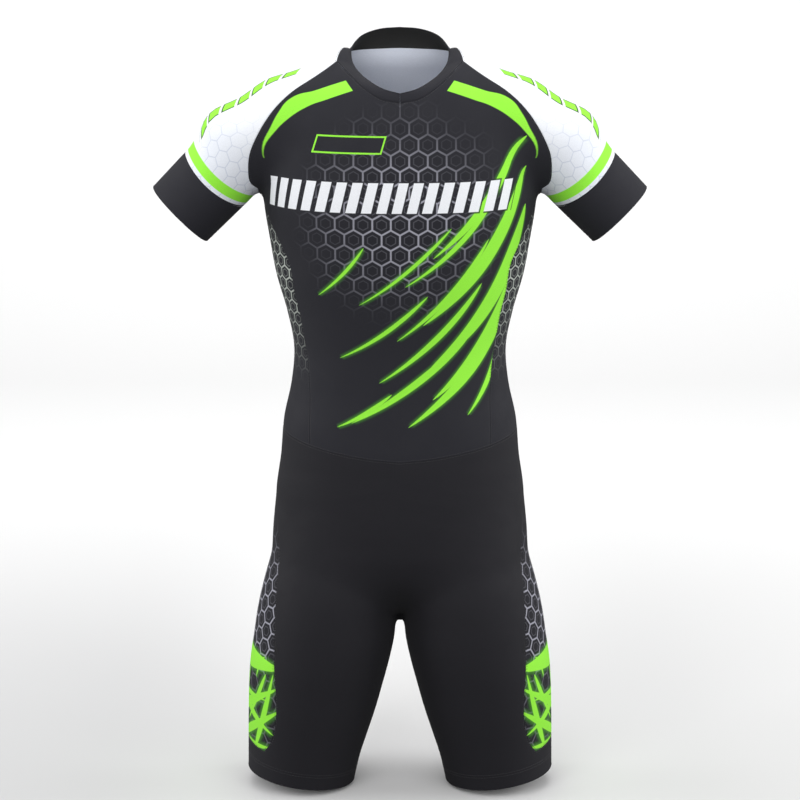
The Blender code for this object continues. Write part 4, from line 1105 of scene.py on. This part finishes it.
def metal(name, colour, rough):
    """Enamelled metal with small rubbed patches."""
    found = bpy.data.materials.get(name)
    if found:
        return found
    material = bpy.data.materials.new(name)
    material.use_nodes = True
    w = Wires(material.node_tree)
    shader = material.node_tree.nodes["Principled BSDF"]
    where = w.put("ShaderNodeTexCoord", out=3)
    rub = w.step(w.put("ShaderNodeTexNoise", where, None, 700.0, 3.0), 0.55, 0.75)
    w.feed(shader.inputs["Base Color"], w.blend(rub, colour, tuple(3.0 * c for c in colour)))
    w.feed(shader.inputs["Roughness"], w.step(rub, 0.0, 1.0, rough, rough + 0.15))
    w.feed(shader.inputs["Metallic"], w.step(rub, 0.0, 1.0, 0.2, 0.8))
    return material


def finish_piece(body, slot, *nodes):
    """Attach a piece to the root body and hide the solids it stands for. The slot is not used."""
    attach(body, "root")
    if nodes:
        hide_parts(*nodes)
    return body


def new_body(name, verts, faces, material, smooth=True):
    """A mesh of verts and faces as an object in the scene."""
    mesh = bpy.data.meshes.new(name)
    mesh.from_pydata([tuple(v) for v in verts], [], [tuple(int(mark) for mark in f) for f in faces])
    mesh.polygons.foreach_set("use_smooth", [smooth] * len(mesh.polygons))
    mesh.materials.append(material)
    mesh.update()
    body = bpy.data.objects.new(name, mesh)
    bpy.context.scene.collection.objects.link(body)
    return body


class Threads:
    """Many short closed tubes gathered into one mesh."""
    RINGS = ((0.0, -0.9, 0.35), (0.12, -0.1, 0.85), (0.5, 0.35, 1.0), (0.88, -0.1, 0.85), (1.0, -0.9, 0.35))
    SIDES = 5

    def __init__(self):
        self.verts, self.faces, self.count = [], [], 0

    def add(self, starts, ends, out, radius):
        """A raised stitch from each start to its end, out being away from the cloth."""
        run = ends - starts
        across = np.cross(out, run)
        across /= np.linalg.norm(across, axis=1)[:, None]
        turns = np.arange(self.SIDES) * 2 * math.pi / self.SIDES
        rings = []
        for share, lift, size in self.RINGS:
            centre = starts + run * share + out * radius * lift
            rings.append(centre[:, None] + radius * size
                         * (np.cos(turns)[None, :, None] * across[:, None]
                            + np.sin(turns)[None, :, None] * out[:, None]))
        block = np.stack(rings, axis=1)
        total = len(starts)
        ring, side = len(self.RINGS), self.SIDES
        marks = (np.arange(total * ring * side) + self.count).reshape(total, ring, side)
        turned = np.roll(marks, -1, axis=2)
        walls = np.stack([marks[:, :-1], turned[:, :-1], turned[:, 1:], marks[:, 1:]], axis=-1)
        self.faces += [tuple(f) for f in walls.reshape(-1, 4)]
        self.faces += [tuple(f) for f in marks[:, 0, ::-1]] + [tuple(f) for f in marks[:, -1]]
        self.verts.append(block.reshape(-1, 3))
        self.count += total * ring * side

    def make(self, name, material):
        return new_body(name, np.concatenate(self.verts), self.faces, material)


def sew(threads, line, aside, side_by_side=True):
    """A row of stitches along a seam, aside from it, on both halves of the suit."""
    sizes = bpy.context.scene.suit_sizes
    pace = sizes.stitch * 1.28
    count = max(2, int(lengths(line)[-1] / pace))
    even = evenly(line, count)
    run = np.gradient(even, axis=0)
    way = np.cross(facing(even), run)
    way /= np.linalg.norm(way, axis=1)[:, None]
    row = lay(even + way * aside, False, 3)
    out = facing(row)
    sunk = sizes.seam_dip * max(0.0, 1.0 - abs(aside) / 0.0045) if side_by_side else 0.0
    row = row + out * (WALL / 2 - sunk)
    starts, ends = row[:-1], row[:-1] + (row[1:] - row[:-1]) / 1.28
    hands = (1.0,) if np.abs(line[:, 0]).max() < 1e-5 else (1.0, -1.0)
    for hand in hands:
        flip = np.array([hand, 1.0, 1.0])
        threads.add(starts * flip, ends * flip, out[:-1] * flip, sizes.thread)


def roll(name, line, closed, radius, material, out, lift=0.0):
    """A folded edge: a round roll of cloth along a line."""
    sides = 8
    run = np.gradient(line, axis=0)
    if closed:
        run[0] = run[-1] = line[1] - line[-2]
    run /= np.linalg.norm(run, axis=1)[:, None]
    across = np.cross(run, out)
    across /= np.linalg.norm(across, axis=1)[:, None]
    turns = np.arange(sides) * 2 * math.pi / sides
    centre = line + out * lift
    rings = (centre[:, None] + radius * (np.cos(turns)[None, :, None] * across[:, None]
                                         + np.sin(turns)[None, :, None] * out[:, None]))
    if closed:
        rings = rings[:-1]
    count = len(rings)
    marks = np.arange(count * sides).reshape(count, sides)
    ahead = np.roll(marks, -1, axis=0) if closed else marks[1:]
    here = marks if closed else marks[:-1]
    walls = np.stack([here, np.roll(here, -1, axis=1), np.roll(ahead, -1, axis=1), ahead], axis=-1)
    faces = [tuple(f) for f in walls.reshape(-1, 4)]
    if not closed:
        faces += [tuple(marks[0, ::-1]), tuple(marks[-1])]
    body = new_body(name, rings.reshape(-1, 3), faces, material)
    place = body.data.attributes.new("cloth", "FLOAT_VECTOR", "POINT")
    place.data.foreach_set("vector", around_trunk(rings.reshape(-1, 3)).ravel())
    bm = bmesh.new()
    bm.from_mesh(body.data)
    bmesh.ops.recalc_face_normals(bm, faces=bm.faces)
    bm.to_mesh(body.data)
    bm.free()
    return body


def pair(kind, places, face, reverse, slot, open_edge=None):
    """The left and right pieces of one kind of cut."""
    cut = cut_cloth(bpy.context.scene.suit_sizes.fineness)
    for side in ("left", "right"):
        shell = Shell()
        for grid in cut["piece"][kind]:
            shell.add(grid if side == "left" else mirrored(grid))
        name = "_".join(word.capitalize() for word in kind.split("_"))
        body = shell.make(f"{name}_{side.capitalize()}", places, cloth_material(face),
                          cloth_material(reverse), open_edge=open_edge)
        finish_piece(body, slot, f"{kind}_{side}")


class SuitSizes(PropertyGroup):
    """Sizes that a user may change."""
    cloth: FloatProperty(name="Cloth", description="Thickness of the knit", default=0.0011,
                         min=0.0004, max=0.002, unit="LENGTH")
    seam_gap: FloatProperty(name="Seam gap", description="Space between two pieces at a seam",
                            default=0.0003, min=0.0, max=0.001, unit="LENGTH")
    seam_dip: FloatProperty(name="Seam dip", description="How far a seam pulls the cloth in",
                            default=0.00035, min=0.0, max=0.001, unit="LENGTH")
    stitch: FloatProperty(name="Stitch", description="Length of one stitch", default=0.0028,
                          min=0.001, max=0.006, unit="LENGTH")
    thread: FloatProperty(name="Thread", description="Radius of the sewing thread",
                          default=0.00022, min=0.0001, max=0.0005, unit="LENGTH")
    hem_stitch: FloatProperty(name="Hem stitch", description="Height of the hem's stitching over its edge",
                              default=0.018, min=0.005, max=0.03, unit="LENGTH")
    cell_pitch: FloatProperty(name="Cell pitch", description="Width of one honeycomb cell",
                              default=0.0223, min=0.01, max=0.04, unit="LENGTH")
    cell_line: FloatProperty(name="Cell line", description="Width of the honeycomb's lines",
                             default=0.0021, min=0.0005, max=0.005, unit="LENGTH")
    strip: FloatProperty(name="White strip", description="White cloth between cuff and green band",
                         default=0.0055, min=0.0, max=0.02, unit="LENGTH")
    band: FloatProperty(name="Green band", description="Width of the green band over the cuff",
                        default=0.0130, min=0.002, max=0.03, unit="LENGTH")
    fineness: IntProperty(name="Fineness", description="How many mesh spaces stand for one of the solid's",
                          default=4, min=1, max=6)


def colour_property(label, words, value):
    return FloatVectorProperty(name=label, description=words, default=value, subtype="COLOR",
                               size=3, min=0.0, max=1.0)


class SuitColours(PropertyGroup):
    """Colours that a user may change."""
    dark: colour_property("Dark", "Dyed knit of the body", (0.0225, 0.0225, 0.0285))
    shorts: colour_property("Shorts", "Knit of the shorts", (0.0175, 0.017, 0.021))
    white: colour_property("White", "Sleeves and bars", (0.90, 0.92, 0.96))
    green: colour_property("Green", "Bright stripes and slashes", (0.33, 0.93, 0.060))
    glow: colour_property("Glow", "Soft green round the slashes", (0.10, 0.42, 0.03))
    net: colour_property("Net", "Honeycomb lines", (0.36, 0.36, 0.42))
    side_net: colour_property("Side net", "Honeycomb lines at the sides", (0.46, 0.50, 0.46))
    cell: colour_property("Cell", "Inside of a honeycomb cell", (0.016, 0.016, 0.022))
    sleeve_net: colour_property("Sleeve net", "Honeycomb lines on the sleeves", (0.50, 0.55, 0.68))
    sleeve_shade: colour_property("Sleeve shade", "Tone under the sleeve's honeycomb", (0.68, 0.74, 0.86))
    outline: colour_property("Outline", "Edge of the sleeve's bars", (0.05, 0.12, 0.03))
    reverse: colour_property("Reverse", "Undyed side of the knit", (0.78, 0.82, 0.92))
    lining_dark: colour_property("Dark reverse", "Reverse of collar and cuffs", (0.022, 0.022, 0.022))
    tape: colour_property("Tape", "Zip tape", (0.020, 0.020, 0.022))


class SUIT_OT_fronts(Operator):
    """Make the two printed fronts"""
    bl_idname = "suit.fronts"
    bl_label = "Fronts"

    def execute(self, context):
        pair("front", around_trunk, "Front Print", "Pale Reverse", "printed_knit")
        return {"FINISHED"}


class SUIT_OT_back(Operator):
    """Make the back"""
    bl_idname = "suit.back"
    bl_label = "Back"

    def execute(self, context):
        grid = cut_cloth(context.scene.suit_sizes.fineness)["piece"]["back"][0]
        body = Shell().add(grid).add(mirrored(grid)).make(
            "Back", around_trunk, cloth_material("Dark Knit"), cloth_material("Pale Reverse"))
        finish_piece(body, "dark_knit", "back")
        return {"FINISHED"}


class SUIT_OT_sides(Operator):
    """Make the honeycomb side panels"""
    bl_idname = "suit.sides"
    bl_label = "Sides"

    def execute(self, context):
        pair("side", around_trunk, "Side Honeycomb", "Pale Reverse", "honeycomb_knit")
        return {"FINISHED"}


class SUIT_OT_sleeves(Operator):
    """Make the sleeves and their cuffs"""
    bl_idname = "suit.sleeves"
    bl_label = "Sleeves"

    def execute(self, context):
        pair("sleeve", around_arm, "Sleeve Print", "Pale Reverse", "white_knit")
        pair("cuff", around_arm, "Dark Knit", "Dark Reverse", "dark_knit",
             lambda p: on_arm(p[None])[0][0] > -0.02)
        return {"FINISHED"}


class SUIT_OT_shorts(Operator):
    """Make the shorts and their insets"""
    bl_idname = "suit.shorts"
    bl_label = "Shorts"

    def execute(self, context):
        def at_hem(p):
            return p[2] < -0.925

        shell = Shell()
        for grid in cut_cloth(context.scene.suit_sizes.fineness)["piece"]["shorts_front"]:
            shell.add(grid).add(mirrored(grid))
        body = shell.make("Shorts_Front", around_leg, cloth_material("Shorts Knit"),
                          cloth_material("Dark Reverse"), open_edge=at_hem)
        finish_piece(body, "shorts_knit", "shorts_front")
        pair("shorts_back", around_leg, "Shorts Knit", "Dark Reverse", "shorts_knit", at_hem)
        pair("inset", around_leg, "Inset Print", "Dark Reverse", "honeycomb_knit")
        return {"FINISHED"}


class SUIT_OT_collar(Operator):
    """Make the collar"""
    bl_idname = "suit.collar"
    bl_label = "Collar"

    def execute(self, context):
        cut = cut_cloth(context.scene.suit_sizes.fineness)
        band, out = cut["piece"]["collar"][0], cut["collar_out"]
        shell = Shell().add(band[:, ::-1], out[:, ::-1])
        shell.part_from(band[:, 0])
        shell.add(mirrored(band)[:, ::-1], mirrored(out)[:, ::-1])
        body = shell.make("Collar", around_trunk, cloth_material("Dark Knit"),
                          cloth_material("Dark Reverse"), open_edge=lambda p: p[2] > 0.004)
        finish_piece(body, "dark_knit", "collar")
        return {"FINISHED"}


class SUIT_OT_edges(Operator):
    """Roll the free edges of collar, cuffs and legs"""
    bl_idname = "suit.edges"
    bl_label = "Folded edges"

    def execute(self, context):
        cut = cut_cloth(context.scene.suit_sizes.fineness)
        line, sizes = cut["line"], context.scene.suit_sizes
        rim, out = cut["piece"]["collar"][0][-1], cut["collar_out"][-1]
        whole = chain(other_side(rim)[::-1], rim)
        outward = chain(other_side(out)[::-1], out)
        radius = 0.62 * sizes.cloth
        inward = WALL / 2 - sizes.cloth / 2
        body = roll("Collar_Edge", whole[::-1], False, radius, cloth_material("Dark Knit"),
                    outward[::-1], inward)
        finish_piece(body, "dark_knit")
        hem = chain(line["hem_front"], line["hem_back"][::-1])
        for side, hand in (("Left", 1.0), ("Right", -1.0)):
            flip = np.array([hand, 1.0, 1.0])
            for name, edge, cloth, slot in (
                    ("Hem_Edge", hem, "Shorts Knit", "shorts_knit"),
                    ("Cuff_Edge", line["cuff_end"], "Dark Knit", "dark_knit")):
                body = roll(f"{name}_{side}", edge * flip, True, radius, cloth_material(cloth),
                            facing(edge) * flip, inward)
                finish_piece(body, slot)
        return {"FINISHED"}


class SUIT_OT_seams(Operator):
    """Sew the seams, hems and cuffs"""
    bl_idname = "suit.seams"
    bl_label = "Seams"

    def execute(self, context):
        cut = cut_cloth(context.scene.suit_sizes.fineness)
        line, sizes = cut["line"], context.scene.suit_sizes
        dark, pale = Threads(), Threads()
        wide = 0.0016
        neck = chain(line["neck_front"], line["neck_side"], line["neck_back"])
        for name in ("side_front", "side_back", "waist_front", "waist_side", "waist_back",
                     "inset_front", "inset_back", "inset_foot", "seat_middle", "inside_leg",
                     "outseam"):
            sew(dark, line[name], wide)
            sew(dark, line[name], -wide)
        sew(dark, neck, wide)
        sew(dark, neck, -wide)
        for name, hand in (("raglan_front", 1.0), ("raglan_back", -1.0), ("armpit", 1.0)):
            sew(pale, line[name], wide * hand)
            sew(dark, line[name], -wide * hand)
        sew(dark, line["cuff_seam"], wide)
        sew(pale, line["cuff_seam"], -wide)
        sew(pale, line["under_sleeve"], wide)
        sew(pale, line["under_sleeve"], -wide)
        hem = chain(line["hem_front"], line["hem_back"][::-1])
        for row in (0.0, 0.0035):
            raised = lay(hem + np.array([0.0, 0.0, sizes.hem_stitch + row]), False, 5)
            sew(dark, raised, 0.0, False)
            cuff = cuff_ring(-sizes.hem_stitch * 0.85 - row, len(line["cuff_end"]) - 1,
                             -0.3 * CUFF_BOW)
            sew(dark, cuff, 0.0, False)
        finish_piece(dark.make("Stitching_Dark", thread("Dark Thread", (0.030, 0.030, 0.034))),
                     "dark_knit")
        finish_piece(pale.make("Stitching_White", thread("White Thread", (0.80, 0.82, 0.86))),
                     "white_knit")
        return {"FINISHED"}


class SUIT_OT_zip(Operator):
    """Make the concealed zip: its tape, coil and slider"""
    bl_idname = "suit.zip"
    bl_label = "Zip"

    def execute(self, context):
        cut = cut_cloth(context.scene.suit_sizes.fineness)
        front = cut["piece"]["front"][0]
        rows = front[front[:, 0, 2] > ZIP_BOTTOM]
        offsets = np.linspace(0.0, ZIP_WIDTH / 2, 5)
        strip = np.empty((len(rows), len(offsets), 3))
        for number, row in enumerate(rows):
            keys = lengths(row)
            strip[number] = np.stack([np.interp(offsets, keys, row[:, axis]) for axis in range(3)],
                                     axis=1)
        strip = strip[1:]
        out = facing(strip)
        behind = -(WALL / 2 + 0.0003)
        tape = Shell().add(strip, out)
        turned = out[:, ::-1].copy()
        turned[..., 0] *= -1.0
        tape.add(mirrored(strip), turned)
        knit = cloth_material("Zip Tape")
        body = tape.make("Zip_Tape", around_trunk, knit, knit, lift=behind - WALL / 2,
                         open_edge=lambda p: True)
        finish_piece(body, "zip_cloth", "zip_tape")

        middle = evenly(strip[:, 0], int(lengths(strip[:, 0])[-1] / 0.0015))
        away = facing(middle)
        sizes = context.scene.suit_sizes
        base = middle + away * (behind - sizes.cloth)
        coil = Threads()
        half = np.array([0.0021, 0.0, 0.0])
        shift = np.array([0.0008, 0.0, 0.0])
        for first, hand in ((0, 1.0), (1, -1.0)):
            spots, inward = base[first::2], -away[first::2]
            coil.add(spots - half + hand * shift, spots + half + hand * shift, inward, 0.00052)
        finish_piece(coil.make("Zip_Coil", metal("Zip Coil", (0.028, 0.028, 0.030), 0.35)),
                     "zip_metal")

        down = middle[8] - middle[0]
        down /= np.linalg.norm(down)
        inward = -away[4] + down * float(np.dot(away[4], down))
        inward /= np.linalg.norm(inward)
        low, high = (np.array(corner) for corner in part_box("zip_slider"))
        centre = 0.5 * (low + high)
        bm = bmesh.new()
        for wide_top, wide_foot, tall, deep, lift, drop in (
                (0.0078, 0.0058, 0.0100, 0.0007, -0.0012, 0.0), (0.0078, 0.0058, 0.0100, 0.0007, 0.0012, 0.0),
                (0.0024, 0.0018, 0.0060, 0.0022, 0.0, -0.0016), (0.0030, 0.0030, 0.0040, 0.0010, 0.0021, -0.0020),
                (0.0042, 0.0052, 0.0150, 0.0008, 0.0030, 0.0060)):
            made = bmesh.ops.create_cube(bm, size=1.0)["verts"]
            for vert in made:
                x, y, z = vert.co
                width = wide_top + (wide_foot - wide_top) * (z + 0.5)
                vert.co = tuple(centre + np.array([width * x, 0.0, 0.0]) + inward * (deep * y + lift)
                                + down * (tall * z + drop))
            edges = {edge for vert in made for edge in vert.link_edges}
            bmesh.ops.bevel(bm, geom=list(edges), offset=0.00030, segments=2, affect="EDGES")
        bmesh.ops.recalc_face_normals(bm, faces=bm.faces)
        mesh = bpy.data.meshes.new("Zip_Slider")
        bm.to_mesh(mesh)
        bm.free()
        mesh.materials.append(metal("Slider Enamel", (0.030, 0.030, 0.032), 0.30))
        slider = bpy.data.objects.new("Zip_Slider", mesh)
        context.scene.collection.objects.link(slider)
        finish_piece(slider, "zip_metal", "zip_slider")
        return {"FINISHED"}


class SUIT_OT_stage(Operator):
    """Make the floor, the lights and the camera"""
    bl_idname = "suit.stage"
    bl_label = "Stage"

    def execute(self, context):
        scene = context.scene
        floor_height = CAD_BOX[0][2] - 0.004
        profile = [(-6.0, floor_height), (2.2, floor_height)]
        for k in range(1, 13):
            turn = math.radians(90 * k / 12)
            profile.append((2.2 + 1.6 * math.sin(turn), floor_height + 1.6 * (1 - math.cos(turn))))
        profile.append((3.8, 5.0))
        verts = [(x, y, z) for y, z in profile for x in (-6.0, 6.0)]
        faces = [(2 * k, 2 * k + 1, 2 * k + 3, 2 * k + 2) for k in range(len(profile) - 1)]
        mesh = bpy.data.meshes.new("Floor")
        mesh.from_pydata(verts, [], faces)
        mesh.polygons.foreach_set("use_smooth", [True] * len(faces))
        material = bpy.data.materials.new("Studio Floor")
        material.use_nodes = True
        w = Wires(material.node_tree)
        shader = material.node_tree.nodes["Principled BSDF"]
        where = w.put("ShaderNodeTexCoord", out=3)
        grain = w.put("ShaderNodeTexNoise", where, None, 3.0, 2.0)
        depth = w.parts(where)[1]
        across = w.parts(where)[0]
        # Painted shade: near the suit the floor is painted darker, more so on its left, for the shadow and shade
        # that fall there.
        painted_shade_near = w.blend(w.step(across, -0.9, 0.9), (0.615, 0.615, 0.62), (0.72, 0.72, 0.72))
        # Painted light: a paler pool is painted in the floor's middle, between the legs.
        middle = w.step(w.math("ABSOLUTE", across), 0.42, 0.05)
        painted_shade_near = w.blend(w.math("MULTIPLY", middle, 0.52), painted_shade_near, (0.95, 0.95, 0.95))
        # Further back the painted shade fades into an evenly pale floor.
        w.feed(shader.inputs["Base Color"], w.blend(w.step(depth, 0.1, 1.7), painted_shade_near, (0.95, 0.95, 0.95)))
        w.feed(shader.inputs["Roughness"], w.step(grain, 0.2, 0.8, 0.85, 0.95))
        shader.inputs["Specular IOR Level"].default_value = 0.0
        # Rays other than the camera's see a dull grey floor, so that it throws little light up under the suit.
        dull = w.put("ShaderNodeBsdfDiffuse", (0.12, 0.12, 0.12, 1.0))
        seen = w.put("ShaderNodeLightPath")
        both = w.put("ShaderNodeMixShader", seen, dull, shader.outputs[0])
        w.feed(material.node_tree.nodes["Material Output"].inputs["Surface"], both)
        mesh.materials.append(material)
        floor = bpy.data.objects.new("Floor", mesh)
        scene.collection.objects.link(floor)

        world = bpy.data.worlds.new("Studio")
        world.use_nodes = True
        world.node_tree.nodes["Background"].inputs["Color"].default_value = (1.0, 1.0, 1.0, 1.0)
        world.node_tree.nodes["Background"].inputs["Strength"].default_value = 0.55
        scene.world = world
        for name, place, size, watts in (
                ("Key", (-1.2, -3.2, 1.7), 2.6, 56.0), ("Fill", (1.8, -2.8, 0.9), 2.4, 32.0),
                ("Top", (0.0, 0.3, 2.6), 2.6, 9.0), ("Left", (-2.6, 0.1, -0.1), 2.0, 34.0),
                ("Right", (2.6, 0.1, -0.1), 2.0, 36.0), ("Backdrop", (0.0, 1.6, 2.6), 3.0, 58.0)):
            data = bpy.data.lights.new(name, "AREA")
            data.shape = "SQUARE"
            data.size = size
            data.energy = watts
            lamp = bpy.data.objects.new(name, data)
            goal = Vector((0.0, 3.0, -0.6)) if name == "Backdrop" else Vector((0.0, 0.0, -0.35))
            lamp.matrix_world = (Matrix.Translation(place)
                                 @ (goal - Vector(place)).to_track_quat("-Z", "Y").to_matrix().to_4x4())
            scene.collection.objects.link(lamp)

        data = bpy.data.cameras.new("Camera")
        data.sensor_fit = "HORIZONTAL"
        data.angle = 2 * math.atan(0.508 / 4.2)
        camera = bpy.data.objects.new("Camera", data)
        goal = Vector((0.0, 0.0, -0.441))
        raised = math.radians(14.0)
        eye = goal + 4.2 * Vector((0.0, -math.cos(raised), math.sin(raised)))
        camera.matrix_world = (Matrix.Translation(eye)
                               @ (goal - eye).to_track_quat("-Z", "Y").to_matrix().to_4x4())
        scene.collection.objects.link(camera)
        scene.camera = camera
        scene.view_settings.view_transform = "Standard"
        return {"FINISHED"}


class SUIT_PT_panel(Panel):
    """Lists what the suit is made of"""
    bl_label = "Speed skating suit"
    bl_idname = "SUIT_PT_panel"
    bl_space_type = "VIEW_3D"
    bl_region_type = "UI"
    bl_category = "Suit"

    def draw(self, context):
        for group in (context.scene.suit_sizes, context.scene.suit_colours):
            for name in group.__annotations__:
                self.layout.prop(group, name)
        for step in STEPS_IN_ORDER:
            self.layout.operator(step.bl_idname)


STEPS_IN_ORDER = (SUIT_OT_fronts, SUIT_OT_back, SUIT_OT_sides, SUIT_OT_sleeves, SUIT_OT_shorts,
                  SUIT_OT_collar, SUIT_OT_edges, SUIT_OT_zip, SUIT_OT_seams, SUIT_OT_stage)
CLASSES = (SuitSizes, SuitColours) + STEPS_IN_ORDER + (SUIT_PT_panel,)


def register():
    for item in CLASSES:
        bpy.utils.register_class(item)
    bpy.types.Scene.suit_sizes = PointerProperty(type=SuitSizes)
    bpy.types.Scene.suit_colours = PointerProperty(type=SuitColours)


def unregister():
    del bpy.types.Scene.suit_colours
    del bpy.types.Scene.suit_sizes
    for item in reversed(CLASSES):
        bpy.utils.unregister_class(item)


def main():
    register()
    for step in STEPS_IN_ORDER:
        operator = step.bl_idname.split(".")[1]
        getattr(bpy.ops.suit, operator)()


if __name__ == "__main__":
    main()
